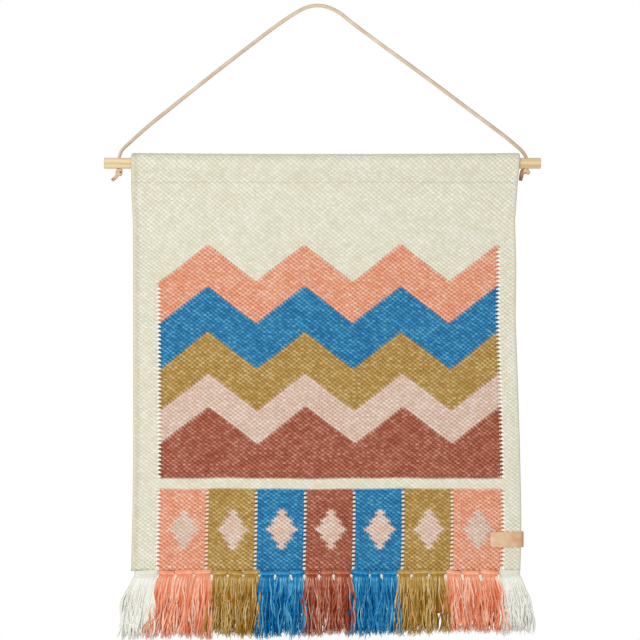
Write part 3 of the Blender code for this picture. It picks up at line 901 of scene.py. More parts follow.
@dataclass
class WovenPanel:
    """The cloth: one woven sheet that rises from the hem, turns over the rod and is sewn down behind."""

    form: ClothForm = ClothForm()
    chart: Chart = Chart()
    finish: WeaveFinish = WeaveFinish()
    fine_rows: int = 157
    coarse_rows: int = 27
    coarse_from_z: float = -0.306
    sleeve_rows: int = 30
    flap_rows: int = 3
    slant: float = 0.6
    float_height: float = 0.00042
    uneven: float = 0.00005
    calm: float = 0.35
    calm_columns: float = 1.2
    deep_columns: float = 2.6
    deep_gain: float = 1.7
    rod_calm: float = 0.45
    # Joins press the weave in and darken it there with painted shadow.
    soft_join: float = 0.25
    ground_slit: tuple[float, float, float] = (0.3, 0.5, 0.3)
    dyed_slit: tuple[float, float, float] = (0.4, 0.6, 0.4)
    join_press: float = 0.0008
    seam_press: float = 0.0002
    edge_turn: float = 0.0009
    hem_turn: float = 0.0014
    sleeve_length: float = 0.0826
    seed: int = 5

    @property
    def body_rows(self) -> int:
        """Rows from the hem to the sleeve's seam."""
        return self.fine_rows + self.coarse_rows

    @property
    def rows(self) -> int:
        """Rows of the whole sheet."""
        return self.body_rows + self.sleeve_rows + self.flap_rows

    def middle_line(self) -> tuple[numpy.ndarray, numpy.ndarray]:
        """Return the sheet's middle line and its outward normals, a row each, as y and z."""
        form = self.form
        part = numpy.linspace(0, 1, 60)
        swell = part * part * (3 - 2 * part)
        front_y = -form.thickness / 2 - (form.radius - form.thickness / 2) * swell
        front = numpy.stack([front_y, form.seam_z + (form.rod_axis_z - form.seam_z) * part], axis=1)
        angle = numpy.linspace(math.pi, 0, 90)[1:-1]
        over = form.radius * numpy.stack([numpy.cos(angle), numpy.sin(angle)], axis=1)
        fine = numpy.concatenate([front, over + (0, form.rod_axis_z), front[::-1] * (-1, 1)])
        travelled = travel(fine)
        sleeve = read_path(numpy.linspace(0, travelled[-1], self.sleeve_rows + 1), travelled, fine)
        fine_z = numpy.linspace(form.hem_z, self.coarse_from_z, self.fine_rows + 1)[:-1]
        coarse_z = numpy.linspace(self.coarse_from_z, form.seam_z, self.coarse_rows + 1)[:-1]
        body_z = numpy.concatenate([fine_z, coarse_z])
        flap_z = numpy.linspace(form.seam_z, form.seam_z - form.flap, self.flap_rows + 1)[1:]
        body = numpy.stack([numpy.full(len(body_z), -form.thickness / 2), body_z], axis=1)
        flap = numpy.stack([numpy.full(len(flap_z), form.thickness / 2), flap_z], axis=1)
        line = numpy.concatenate([body, sleeve, flap])
        along = numpy.gradient(line, axis=0)
        along[self.body_rows] = (0, 1)
        along[self.body_rows + self.sleeve_rows] = (0, -1)
        along /= numpy.linalg.norm(along, axis=1)[:, None]
        return line, numpy.stack([-along[:, 1], along[:, 0]], axis=1)

    def float_form(self, across: numpy.ndarray, up: numpy.ndarray) -> numpy.ndarray:
        """Return the height of the weave from -1 to 1 at places counted in columns and rows."""
        ridge = numpy.cos(math.pi * (across + up))
        gap = numpy.cos(math.pi * (across - up))
        return self.slant * ridge + (1 - self.slant) * gap

    def float_column(self, across: numpy.ndarray, row: numpy.ndarray, parity: int) -> numpy.ndarray:
        """Return the column of the float that covers a place in a row."""
        odd = (row + parity) % 2
        return 2 * numpy.round((across - odd) / 2).astype(int) + odd

    def uprights(self) -> tuple[numpy.ndarray, numpy.ndarray]:
        """Find the upright joins of two yarns, where slits open between teeth of pale warp.

        Returns:
            How deep a slit is at each point, and the yarn that shows in each cell's lower and upper
            half or -1 for the chart's own, both in rows and half columns.
        """
        columns = self.chart.columns
        yarn = self.chart.yarns(numpy.arange(columns + 1)[None, :], numpy.arange(self.rows + 3)[:, None])
        change = yarn[:, 1:] != yarn[:, :-1]
        slits = numpy.zeros((self.rows + 1, 2 * columns + 1))
        cells = numpy.full((2, self.rows + 1, 2 * columns + 1), -1)
        natural, warp = YARNS.index(Yarn.NATURAL), YARNS.index(Yarn.WARP)
        for row, before in numpy.argwhere(change[:-2] & change[1:-1] & change[2:]):
            half = 2 * (before + 1)
            left, right = int(yarn[row, before]), int(yarn[row, before + 1])
            if natural in (left, right):
                first, step = (half - 2, 1) if left == natural else (half - 1, -1)
                if row % 2:
                    cells[:, row, [first, first + step]] = warp
                    cells[0, row, first + 2 * step] = warp
                else:
                    cells[:, row, first] = natural
                    cells[:, row, first + step] = right if left == natural else left
                slits[row, [half - 1, half - 1 + step, half - 1 + 2 * step]] = self.ground_slit
            else:
                if row % 2:
                    cells[:, row, [half - 2, half - 1]] = natural
                slits[row, [half - 2, half - 1, half]] = self.dyed_slit
        return slits, cells

    def relief(
        self, across: numpy.ndarray, row: numpy.ndarray, inner: numpy.ndarray, z: numpy.ndarray, parity: int
    ) -> numpy.ndarray:
        """Return the height of the floats on one side, calmer at the selvedges and over the rod.

        Args:
            across: The column of each point.
            row: Its row.
            inner: How many columns it lies in from the nearer selvedge.
            z: Its height in the room.
            parity: 0 for the outer side, 1 for the inner side, whose floats stand a column over.

        Returns:
            The heights in metres.
        """
        relief = self.float_form(across + parity, row)
        relief = relief * numpy.where(inner < self.calm_columns, self.calm, 1.0)
        deep = (inner >= self.calm_columns) & (inner < self.deep_columns) & (relief < 0)
        relief = numpy.where(deep, relief * self.deep_gain, relief)
        over_rod = numpy.clip((z - self.form.rod_axis_z) / self.form.radius, 0, 1)
        return relief * (1 - self.rod_calm * over_rod) * self.float_height

    def side(
        self, columns: numpy.ndarray, outer: bool, slits: float | numpy.ndarray, draw: numpy.random.Generator
    ) -> tuple[numpy.ndarray, numpy.ndarray, numpy.ndarray]:
        """Return the points of one side of the sheet and how pressed they are at joins.

        Args:
            columns: The places of its vertices across, counted in columns.
            outer: True for the front and the sleeve's outside.
            slits: How deep a join's slit is at each point.
            draw: The seeded generator of its unevenness.

        Returns:
            Points in rows and columns, how pressed each is at joins, and how near the selvedge.
        """
        form = self.form
        line, normals = self.middle_line()
        parity = 0 if outer else 1
        across, row = numpy.meshgrid(columns, numpy.arange(self.rows + 1))
        y, z = line[row, 0], line[row, 1]
        part = across / self.chart.columns
        lifted = numpy.maximum(0.0, (z - form.seam_z) / (form.top_z - form.seam_z))
        z = z + form.end_lift * lifted * (2 * part - 1) ** 2
        left, right = form.edges(z)
        x = left + (right - left) * part
        inner = numpy.minimum(across, self.chart.columns - across)
        at_end = numpy.minimum(row, self.rows - row) == 0
        x = x + (inner == 0.5) * numpy.sign(across - self.chart.columns / 2) * self.edge_turn
        height = self.relief(across, row, inner, z, parity)
        height = height + draw.normal(0, self.uneven, height.shape)
        before, after = (
            self.chart.yarns(self.float_column(across + shift, row, parity), row) for shift in (-0.3, 0.3)
        )
        beside = slits > numpy.zeros_like(across)
        join = numpy.maximum(self.soft_join * (before != after) * ~beside, slits)
        seam = ((row == self.body_rows) | (row == self.body_rows + self.sleeve_rows)).astype(float)
        height = height - join * self.join_press - seam * self.seam_press
        half = form.thickness / 2 * numpy.sqrt(1 - (1 - numpy.clip(inner, 0, 1)) ** 2)
        reach = numpy.where(at_end, 0.0, half + numpy.where(inner == 0, 0.0, height))
        reach = reach if outer else -reach
        z = z - numpy.where((row == 1) & (inner > 0.6), self.hem_turn, 0.0)
        wander = 0.0004 * numpy.sin(31 * x + 0.11 * row) + 0.0003 * numpy.sin(83 * x - 0.05 * row + 1.0)
        z = z + wander * (row < self.body_rows) * numpy.minimum(1.0, row / 6)
        y = y + normals[row, 0] * reach + form.depth(x, z)
        z = z + normals[row, 1] * reach
        turned = numpy.maximum(1 - numpy.clip((inner - 0.4) / 0.9, 0, 1), at_end * 0.7)
        turned = numpy.maximum(turned, 0.5 * beside)
        return numpy.stack([x, y, z], axis=2), numpy.maximum(join, seam * 0.2), turned

    def build(self, rod: bpy.types.Object, *with_pieces: bpy.types.Object) -> bpy.types.Object:
        """Weave the sheet.

        Args:
            rod: The rod that it hangs from; not used.
            with_pieces: The separate pieces on it; not used.

        Returns:
            The cloth.
        """
        draw = numpy.random.default_rng(self.seed)
        count = self.chart.columns
        slits, cells = self.uprights()
        outside = self.side(numpy.arange(2 * count + 1) / 2, True, slits, draw)
        inside = self.side(numpy.arange(count + 1), False, 0.0, draw)
        front_ids = numpy.arange((self.rows + 1) * (2 * count + 1)).reshape(self.rows + 1, -1)
        back_ids = numpy.full((self.rows + 1, count + 1), -1)
        back_ids[:, [0, -1]] = front_ids[:, [0, -1]]
        back_ids[[0, -1], :] = front_ids[[0, -1], ::2]
        own = back_ids < 0
        back_ids[own] = front_ids.size + numpy.arange(own.sum())
        points, joins, turned = (
            numpy.concatenate([outer.reshape(front_ids.size, *outer.shape[2:]), inner[own]])
            for outer, inner in zip(outside, inside)
        )
        faces, corners, shades = self.weave_faces(front_ids, back_ids, cells)
        mesh = bpy.data.meshes.new("cloth_weave")
        mesh.from_pydata(points.tolist(), [], faces)
        give_map(mesh, "weave", corners)
        tint = mesh.color_attributes.new("yarn", "FLOAT_COLOR", "CORNER")
        table = numpy.array([(*yarn.colour[:3], yarn.shade) for yarn in YARNS], numpy.float32)
        sizes = [len(face) for face in faces]
        tint.data.foreach_set("color", table[numpy.repeat(shades, sizes)].ravel())
        give_values(mesh, "join", joins)
        give_values(mesh, "selvedge", turned)
        mesh.shade_smooth()
        cloth = link("cloth_weave", mesh, self.finish.material())
        hold(cloth, "cloth", "cloth")
        return cloth

    def weave_faces(
        self, front: numpy.ndarray, back: numpy.ndarray, cells: numpy.ndarray
    ) -> tuple[list, list, list]:
        """Return the sheet's faces, their places on the map and their yarns.

        Args:
            front: Numbers of the outer points, in rows and half columns.
            back: Numbers of the inner points, in rows and columns.
            cells: The yarn of each cell's lower and upper half at upright joins, or -1.

        Returns:
            The faces, a map place for each corner, and a yarn number for each face.
        """
        faces: list[tuple[int, ...]] = []
        corners: list[tuple[float, float]] = []
        shades: list[int] = []
        half_count = front.shape[1] - 1
        halves = numpy.arange(half_count)
        for row in range(self.rows):
            low_column = self.float_column((halves + 0.34) / 2, numpy.full(half_count, row), 0)
            high_column = self.float_column((halves + 0.66) / 2, numpy.full(half_count, row + 1), 0)
            low = self.chart.yarns(low_column, row)
            high = self.chart.yarns(high_column, row + 1)
            low = numpy.where(cells[0, row, :-1] >= 0, cells[0, row, :-1], low)
            high = numpy.where(cells[1, row, :-1] >= 0, cells[1, row, :-1], high)
            for step in range(half_count):
                left, right = step / 2, (step + 1) / 2
                one, two = int(front[row, step]), int(front[row, step + 1])
                three, four = int(front[row + 1, step + 1]), int(front[row + 1, step])
                faces.append((one, two, four))
                corners.extend(((left, row), (right, row), (left, row + 1)))
                faces.append((two, three, four))
                corners.extend(((right, row), (right, row + 1), (left, row + 1)))
                shades.extend((int(low[step]), int(high[step])))
        count = back.shape[1] - 1
        for row in range(self.rows):
            column = self.float_column(numpy.arange(count) + 0.5, numpy.full(count, row), 1)
            shade = self.chart.yarns(column, row)
            for step in range(count):
                face = [back[row, step], back[row + 1, step], back[row + 1, step + 1], back[row, step + 1]]
                place = [(step, row), (step, row + 1), (step + 1, row + 1), (step + 1, row)]
                if row == 0:
                    face.append(front[0, 2 * step + 1])
                    place.append((step + 0.5, row))
                if row == self.rows - 1:
                    face.insert(2, front[-1, 2 * step + 1])
                    place.insert(2, (step + 0.5, row + 1))
                faces.append(tuple(int(point) for point in face))
                corners.extend((across + 1, up) for across, up in place)
                shades.append(int(shade[step]))
        return faces, corners, shades


# The fringe

@dataclass(frozen=True)
class TasselPlace:
    """Where one tassel's head stands under the hem, and how wide it is."""

    centre: float
    width: float


@dataclass(frozen=True)
class Lock:
    """A few strands of a tassel that fall together."""

    centre: float
    depth: float
    length: float
    tone: float
    swing: float
    turns: float
    phase: float


@dataclass
class Fringe:
    """Wool tassels hitched to the hem, their heads wrapped with yarn, and their strands left to fray."""

    form: ClothForm = ClothForm()
    places: tuple[TasselPlace, ...] = (
        TasselPlace(-0.2193, 0.0294), TasselPlace(-0.1927, 0.0175), TasselPlace(-0.1688, 0.0198),
        TasselPlace(-0.1460, 0.0206), TasselPlace(-0.1236, 0.0171), TasselPlace(-0.1037, 0.0187),
        TasselPlace(-0.0831, 0.0187), TasselPlace(-0.0629, 0.0193), TasselPlace(-0.0424, 0.0171),
        TasselPlace(-0.0249, 0.0155), TasselPlace(-0.0055, 0.0155), TasselPlace(0.0135, 0.0149),
        TasselPlace(0.0331, 0.0190), TasselPlace(0.0576, 0.0206), TasselPlace(0.0760, 0.0130),
        TasselPlace(0.0942, 0.0190), TasselPlace(0.1143, 0.0155), TasselPlace(0.1343, 0.0193),
        TasselPlace(0.1552, 0.0188), TasselPlace(0.1781, 0.0168), TasselPlace(0.1991, 0.0200),
        TasselPlace(0.2226, 0.0206), TasselPlace(0.2503, 0.0250),
    )
    threes: tuple[Yarn, ...] = Chart().blocks
    left_lean: float = -0.015
    right_lean: float = 0.011
    left_tip_z: float = -0.8085
    right_tip_z: float = -0.8000
    tip_reach: float = 0.0046
    head_height: float = 0.0086
    head_half_depth: float = 0.0032
    head_top: float = 0.0003
    head_in: float = 0.0014
    # How much darker the heads' wraps are drawn, for dyed and for natural wool.
    head_dark: float = 0.2
    pale_head_dark: float = 0.4
    wraps: int = 4
    root_rise: float = 0.0020
    core_half_depth: float = 0.0037
    core_length: float = 0.70
    # Painted shade on a dyed core, seen in the gaps between the strands.
    core_shade: float = 0.85
    core_taper: float = 0.8
    pale_core_half_depth: float = 0.0043
    pale_core_length: float = 0.90
    pale_core_taper: float = 0.35
    layers: tuple[float, ...] = (-0.0012, 0.0012, -0.0032, -0.0043, 0.0032, 0.0043)
    outer_from: float = 0.004
    # Painted shade on the strands of the back layers.
    inner_shade: float = 0.45
    # Painted shade on the strands at the edges of each lock, for the valleys between locks.
    edge_shade: float = 0.35
    strand_pitch: float = 0.00155
    yarn_radius: float = 0.00098
    pale_swell: float = 1.15
    twist_pitch: float = 0.0075
    lock_pitch: float = 0.0056
    lock_pull: float = 0.5
    inner_pull: float = 0.1
    wander_share: float = 0.22
    wander_reach: float = 0.16
    tip_uneven: float = 0.0022
    tassel_uneven: float = 0.0010
    wave: float = 0.0015
    stray_wave: float = 0.0010
    strays: int = 3
    seed: int = 21

    def yarn(self, number: int) -> Yarn:
        """Return the yarn of a tassel by its number from the left."""
        if number in (0, len(self.places) - 1):
            return Yarn.NATURAL
        return self.threes[(number - 1) // 3]

    def pale(self, number: int) -> bool:
        """Return whether a tassel is of natural wool."""
        return self.yarn(number) is Yarn.NATURAL

    def lean(self, x: float) -> float:
        """Return how far sideways the strands below a place on the hem lean at their tips."""
        left, right = self.form.lefts[-1], self.form.rights[-1]
        side = (x - (left + right) / 2) / ((right - left) / 2)
        return self.right_lean * side**3 if side > 0 else self.left_lean * side**2

    def head_range(self, number: int) -> tuple[float, float]:
        """Return the stretch of the hem that one tassel's head fills up to its neighbours."""
        edges = []
        for step in (-1, 1):
            own = self.places[number].centre + step * self.places[number].width / 2
            beside = number + step
            if 0 <= beside < len(self.places):
                other = self.places[beside].centre - step * self.places[beside].width / 2
                own = (own + other) / 2
            edges.append(own)
        return edges[0], edges[1]

    def tip_range(self, number: int) -> tuple[float, float]:
        """Return the stretch that one tassel's tips fill, a little over those of its neighbours."""
        left, right = self.head_range(number)
        return left + self.lean(left) - self.tip_reach, right + self.lean(right) + self.tip_reach

    def tip_z(self, x: float) -> float:
        """Return the height where strands end, rising from left to right."""
        first, last = self.places[0].centre, self.places[-1].centre
        return self.left_tip_z + (self.right_tip_z - self.left_tip_z) * (x - first) / (last - first)

    def middle_y(self, number: int) -> float:
        """Return the depth of a tassel's middle."""
        return -self.form.thickness / 2 + self.form.depth_at(self.places[number].centre, self.form.hem_z)

    def wrap_head(self, work: YarnMesh, number: int, draw: numpy.random.Generator) -> None:
        """Wrap yarns round a tassel's head.

        Args:
            work: The tassel's mesh.
            number: The tassel's number from the left.
            draw: The seeded generator.
        """
        left, right = self.head_range(number)
        step = self.head_height / self.wraps
        angle = round_angles(24)
        flat = rounded(numpy.cos(angle), 0.55)
        deep = rounded(numpy.sin(angle), 0.7)
        tone_and_shade = self.pale_head_dark if self.pale(number) else self.head_dark
        drop, slope = draw.normal(0, 0.0004), draw.normal(0, 0.0006)
        for wrap in range(self.wraps):
            z = self.form.hem_z + self.head_top - step * (wrap + 0.3) + drop + draw.normal(0, 0.0001)
            swell = 1 - 0.05 * abs(wrap - 1.5) / 2.5 + draw.normal(0, 0.012)
            half = (right - left) / 2 * swell - self.head_in
            tilt = slope + draw.normal(0, 0.0003)
            path = numpy.stack(
                [
                    (left + right) / 2 + half * flat,
                    self.middle_y(number) + self.head_half_depth * swell * deep,
                    z + tilt * flat + 0.00012 * numpy.cos(3 * angle + draw.uniform(0, 6)),
                ],
                axis=1,
            )
            radius = numpy.full(len(path), step * draw.uniform(0.72, 0.84))
            work.sweep(path, radius, radius, 8, facing=(0.0, 0.0, 1.0), pitch=0.006, ring=True, tone_and_shade=tone_and_shade)

    def spread(self, part: numpy.ndarray) -> numpy.ndarray:
        """Return how far strands have fanned out at each part of their fall."""
        return 1 - (1 - part) ** 2.4

    def strand_path(
        self, root: Point, tip: Point, lock: Lock, draw: numpy.random.Generator, steps: int, wave: float
    ) -> numpy.ndarray:
        """Return the wavy fall of one strand from its root to its tip.

        Args:
            root: Where it leaves the head.
            tip: Where it ends.
            lock: The lock that it falls with.
            draw: The seeded generator.
            steps: Number of points.
            wave: Size of its own waves.

        Returns:
            The points of its path, a row each.
        """
        part = numpy.linspace(0, 1, steps)
        grow = numpy.minimum(1.0, part * 2.5)
        swing = lock.swing * grow * numpy.sin(2 * math.pi * lock.turns * part + lock.phase)
        spread = self.spread(part) * 0.7 + part * 0.3
        x = root[0] + (tip[0] - root[0]) * spread + swing
        y = root[1] + (tip[1] - root[1]) * spread + 0.4 * swing
        z = root[2] + (tip[2] - root[2]) * part
        for size, turns in ((wave, draw.uniform(0.7, 1.6)), (wave * 0.45, draw.uniform(1.8, 3.0))):
            x = x + size * grow * numpy.sin(2 * math.pi * turns * part + draw.uniform(0, 6))
            y = y + 0.7 * size * grow * numpy.sin(2 * math.pi * turns * part + draw.uniform(0, 6))
        return numpy.stack([x, y, z], axis=1)

    def draw_locks(self, width: float, draw: numpy.random.Generator) -> list[Lock]:
        """Draw the locks of a tassel of a width."""
        count = max(2, round(width / self.lock_pitch))
        return [
            Lock(
                centre=(step + 0.5 + draw.uniform(-0.3, 0.3)) / count,
                depth=draw.normal(0, 0.0006),
                length=draw.normal(0, 0.0014),
                tone=draw.uniform(0.0, 0.4),
                swing=draw.uniform(0.0010, 0.0030),
                turns=draw.uniform(0.4, 1.2),
                phase=draw.uniform(0, 6),
            )
            for step in range(count)
        ]

    def fill_core(self, work: YarnMesh, number: int) -> None:
        """Fill a tassel's middle with yarns that lie side by side, seen in the gaps between its strands."""
        left, right = self.head_range(number)
        low, high = self.tip_range(number)
        # A dyed core gets painted shade in the gaps between strands; a natural one none.
        if self.pale(number):
            length, half_depth = self.pale_core_length, self.pale_core_half_depth
            taper, tone_and_shade = self.pale_core_taper, 0.0
        else:
            length, half_depth = self.core_length, self.core_half_depth
            taper, tone_and_shade = self.core_taper, self.core_shade
        part = numpy.linspace(0, length, 12)
        spread = self.spread(part)
        top_z = self.form.hem_z - self.head_height + self.root_rise
        x = (left + right) / 2 + ((low + high) / 2 - (left + right) / 2) * spread
        z = top_z + (self.tip_z((low + high) / 2) - top_z) * part
        top_half = (right - left) / 2 - 0.0010
        wide = top_half + ((high - low) / 2 - 0.0016 - top_half) * spread
        wide = wide * (1 - taper * (part / part[-1]) ** 5)
        deep = half_depth * (1 - 0.8 * (part / part[-1]) ** 3)
        path = numpy.stack([x, numpy.full(len(part), self.middle_y(number)), z], axis=1)
        yarns = 2 * round((right - left) / self.strand_pitch)
        work.sweep(path, wide, deep, 40, square=4.0, pitch=self.twist_pitch, tone_and_shade=tone_and_shade, yarns=yarns)

    def hang_layer(
        self,
        work: YarnMesh,
        number: int,
        depth: float,
        locks: list[Lock],
        length_change: float,
        draw: numpy.random.Generator,
    ) -> None:
        """Hang one layer of a tassel's strands, each drawn towards its lock unless it wanders.

        Args:
            work: The tassel's mesh.
            number: The tassel's number from the left.
            depth: How far behind the tassel's middle the layer hangs.
            locks: The tassel's locks.
            length_change: How much higher this tassel's strands end than the others'.
            draw: The seeded generator.
        """
        left, right = self.head_range(number)
        low, high = self.tip_range(number)
        middle_y, pale = self.middle_y(number), self.pale(number)
        outer = abs(depth) >= self.outer_from
        # Back layers get painted shade, front layers none.
        layer_shade, pull = (0.0, self.lock_pull) if outer else (self.inner_shade, self.inner_pull)
        count = max(6, round((right - left) / self.strand_pitch))
        for step in range(count):
            across = (step + 0.5 + draw.uniform(-0.35, 0.35)) / count
            lock = locks[min(len(locks) - 1, int(across * len(locks)))]
            off = 2 * (across * len(locks) % 1.0) - 1
            wanders = draw.uniform() < self.wander_share
            root_x = left + 0.0005 + across * (right - left - 0.0010)
            root = (root_x, middle_y + depth * 0.8, self.form.hem_z - self.head_height + self.root_rise)
            aim = across + (draw.normal(0, self.wander_reach) if wanders else pull * (lock.centre - across))
            aim = aim + draw.normal(0, 0.05)
            tip_x = low + (high - low) * float(numpy.clip(aim, -0.05, 1.05))
            tip_y = middle_y + depth * (1.3 - 0.35 * off * off) + lock.depth + draw.normal(0, 0.0006)
            tip_z = self.tip_z(tip_x) + length_change + lock.length + draw.normal(0, self.tip_uneven)
            path = self.strand_path(root, (tip_x, tip_y, tip_z), lock, draw, 15, self.wave)
            part = numpy.linspace(0, 1, len(path))
            size = self.yarn_radius * draw.uniform(0.80, 1.15) * (self.pale_swell if pale else 1.0)
            radius = size * (1.0 - 0.12 * part - 0.45 * numpy.maximum(0, part - 0.88) / 0.12)
            # Painted shade on back layers and at lock edges, plus each lock's own darker tone; wandering and
            # natural strands get none.
            tone_and_shade = 0.0 if wanders or pale else layer_shade + self.edge_shade * off * off + lock.tone
            tone_and_shade = tone_and_shade * numpy.minimum(1, 3 * part)
            work.sweep(path, radius, radius, 6, pitch=self.twist_pitch, tone_and_shade=tone_and_shade)
            self.fray(work, path, size, draw)

    def fray(self, work: YarnMesh, path: numpy.ndarray, size: float, draw: numpy.random.Generator) -> None:
        """Add two loose plies at a strand's end."""
        last = path[-1] - path[-2]
        along = last / numpy.linalg.norm(last)
        part = numpy.linspace(0, 1, 4)[:, None]
        radius = size * numpy.array([0.5, 0.42, 0.34, 0.16])
        for _ in range(2):
            reach = draw.uniform(0.0030, 0.0062)
            aside = numpy.array([draw.normal(0, 0.28), draw.normal(0, 0.22), 0.0])
            line = path[-2] + last * 0.4 + along * part * (reach + 0.002) + aside * part**1.6 * reach
            work.sweep(line, radius, radius, 3, pitch=0.01, loose=True)

    def stray(self, work: YarnMesh, number: int, draw: numpy.random.Generator) -> None:
        """Add one thin loose ply that wanders over the front of a tassel."""
        across = draw.uniform(0.12, 0.88)
        left, right = self.head_range(number)
        low, high = self.tip_range(number)
        middle_y = self.middle_y(number)
        root = (
            left + across * (right - left), middle_y - 0.0040, self.form.hem_z - self.head_height + 0.0010
        )
        tip_x = low + (high - low) * float(numpy.clip(across + draw.normal(0, 0.2), 0.05, 0.95))
        tip = (tip_x, middle_y - 0.0062, self.tip_z(tip_x) + draw.uniform(0.0, 0.012))
        swing, turns, phase = draw.uniform(0.0010, 0.0024), draw.uniform(0.5, 0.9), draw.uniform(0, 6)
        lock = Lock(0.5, 0.0, 0.0, 0.0, swing, turns, phase)
        path = self.strand_path(root, tip, lock, draw, 20, self.stray_wave)
        radius = numpy.linspace(0.00050, 0.00032, len(path))
        work.sweep(path, radius, radius, 4, pitch=0.01, loose=True)

    def build_tassel(self, number: int, finish: bpy.types.Material) -> bpy.types.Object:
        """Make one tassel: its wrapped head, its core, its strands and stray fibres.

        Args:
            number: The tassel's number from the left.
            finish: The material of its yarn.

        Returns:
            The tassel.
        """
        draw = numpy.random.default_rng(self.seed + number)
        work = YarnMesh("strand")
        self.wrap_head(work, number, draw)
        self.fill_core(work, number)
        left, right = self.head_range(number)
        locks = self.draw_locks(right - left, draw)
        length_change = draw.normal(0, self.tassel_uneven)
        for depth in self.layers:
            self.hang_layer(work, number, depth, locks, length_change, draw)
        for _ in range(self.strays):
            self.stray(work, number, draw)
        tassel = work.finish(f"fringe_{number + 1:02d}", finish)
        return hold(tassel, self.yarn(number).slot, f"tassel_{number + 1:02d}")

    def build(self) -> list[bpy.types.Object]:
        """Make all the tassels from left to right, and return them."""
        finishes = {yarn: YarnFinish(yarn).material() for yarn in (Yarn.NATURAL, *dict.fromkeys(self.threes))}
        return [self.build_tassel(number, finishes[self.yarn(number)]) for number in range(len(self.places))]


@dataclass
class WarpEnds:
    """Cotton ends of the warp, knotted under the hem between the tassels."""

    fringe: Fringe
    name: str = "warp_ends"
    finish: ThreadFinish = ThreadFinish("cotton_warp", linear(240, 234, 217), 1.2)
    drop: float = 0.0038
    seed: int = 8

    def model_knot(self) -> bpy.types.Object:
        """Model one knot of unit width: a round core, two slanting turns and two short ends."""
        bpy.ops.object.select_all(action="DESELECT")
        bpy.ops.mesh.primitive_uv_sphere_add(segments=12, ring_count=8, radius=0.42, location=(0, 0, -0.45))
        parts = [bpy.context.object]
        with edit_mode():
            bpy.ops.transform.resize(value=(0.86, 0.8, 1.02))
        for height, tilt, lean in ((-0.36, 0.5, 0.2), (-0.60, -0.42, -0.15)):
            bpy.ops.mesh.primitive_torus_add(
                location=(0, 0, height), rotation=(lean, tilt, 0), major_segments=16, minor_segments=6,
                major_radius=0.30, minor_radius=0.15,
            )
            parts.append(bpy.context.object)
        for shift, tilt in ((-0.10, 0.10), (0.12, -0.14)):
            bpy.ops.mesh.primitive_cylinder_add(
                vertices=7, radius=0.17, depth=0.72, location=(shift, 0.0, -1.12), rotation=(0, tilt, 0)
            )
            end = bpy.context.object
            with edit_mode():
                bpy.ops.mesh.subdivide(number_cuts=1)
            for vertex in end.data.vertices:
                if vertex.co.z < -0.2:
                    vertex.co.x *= 0.55
                    vertex.co.y *= 0.55
            parts.append(end)
        return join_pieces([settle(part) for part in parts])

    def build(self) -> bpy.types.Object:
        """Set a knot between each two tassels, and return them all as one piece."""
        draw = numpy.random.default_rng(self.seed)
        model = self.model_knot()
        places = []
        form = self.fringe.form
        for before, after in zip(self.fringe.places, self.fringe.places[1:]):
            left, right = before.centre + before.width / 2, after.centre - after.width / 2
            x = (left + right) / 2
            wide = float(numpy.clip(right - left + 0.0026, 0.0042, 0.0060)) * draw.uniform(0.85, 1.1)
            tall = wide * draw.uniform(0.95, 1.20)
            y = -form.thickness / 2 + form.depth_at(x, form.hem_z) - draw.uniform(0.0022, 0.0046)
            tilt = Matrix.Rotation(draw.uniform(-0.35, 0.35), 4, "Y")
            turn = Matrix.Rotation(draw.uniform(-0.5, 0.5), 4, "Z")
            size = Matrix.Diagonal((wide, wide * 0.9, tall, 1.0))
            places.append(Matrix.Translation((x, y, form.hem_z - self.drop)) @ tilt @ turn @ size)
        return hold(scatter(model, self.name, places, self.finish.material()), "fringe_natural")


# The rod

@dataclass
class Rod:
    """Turned dowel with eased ends, drilled near each end for the lace."""

    length: float = 0.562
    radius: float = 0.0070
    centre_x: float = 0.008
    axis_z: float = -0.2014
    ease: float = 0.0006
    holes: tuple[float, float] = (-0.2543, 0.2709)
    hole_radius: float = 0.0026
    bit_length: float = 0.03
    finish: WoodFinish = WoodFinish()

    def build(self) -> bpy.types.Object:
        """Turn, ease and drill the rod, and return it."""
        bpy.ops.object.select_all(action="DESELECT")
        bpy.ops.mesh.primitive_cylinder_add(
            vertices=64, radius=self.radius, depth=self.length, end_fill_type="NGON",
            location=(self.centre_x, 0, self.axis_z), rotation=(0, math.pi / 2, 0),
        )
        rod = settle(bpy.context.object)
        rod.name = "rod_dowel"
        with edit_mode("DESELECT"):
            bpy.ops.mesh.select_mode(type="FACE")
        for face in rod.data.polygons:
            face.select = abs(face.normal.x) > 0.9
        with edit_mode(""):
            bpy.ops.mesh.bevel(offset=self.ease, segments=3, affect="EDGES")
        for x in self.holes:
            self.drill(rod, x)
        pick(rod)
        bpy.ops.object.shade_smooth_by_angle(angle=math.radians(40))
        redress(rod, self.finish.material(self.centre_x, self.axis_z))
        return hold(rod, "rod", "rod")

    def drill(self, rod: bpy.types.Object, x: float) -> None:
        """Drill one hole down through the rod, with its middle at x."""
        bpy.ops.object.select_all(action="DESELECT")
        bpy.ops.mesh.primitive_cylinder_add(
            vertices=32, radius=self.hole_radius, depth=self.bit_length, location=(x, 0, self.axis_z)
        )
        bit = settle(bpy.context.object)
        cut = rod.modifiers.new("drill", "BOOLEAN")
        cut.operation = "DIFFERENCE"
        cut.solver = "EXACT"
        cut.object = bit
        apply_modifiers(rod)
        bpy.data.objects.remove(bit)


# The lace and its knots

@dataclass(frozen=True)
class KnotTurn:
    """One turn of the lace round itself: its middle below the rod, its size and its tilt."""

    across: float
    down: float
    radius: float
    depth: float
    tilt: float
    lean: float = 0.0


@dataclass(frozen=True)
class LaceKnot:
    """A knot under the rod: its turns and the way its tail takes, with its width and how dark its tail is,
    painted shadow where the cloth's edge and the rod shade it.
    """

    name: str
    node: str
    hole_x: float
    turns: tuple[KnotTurn, ...]
    core: tuple[Point, ...]
    tail_width: float = 0.0016
    # Painted shadow along the tail, from its root to its end.
    tail_shade: tuple[float, ...] = (0.45, 0.45, 0.45)


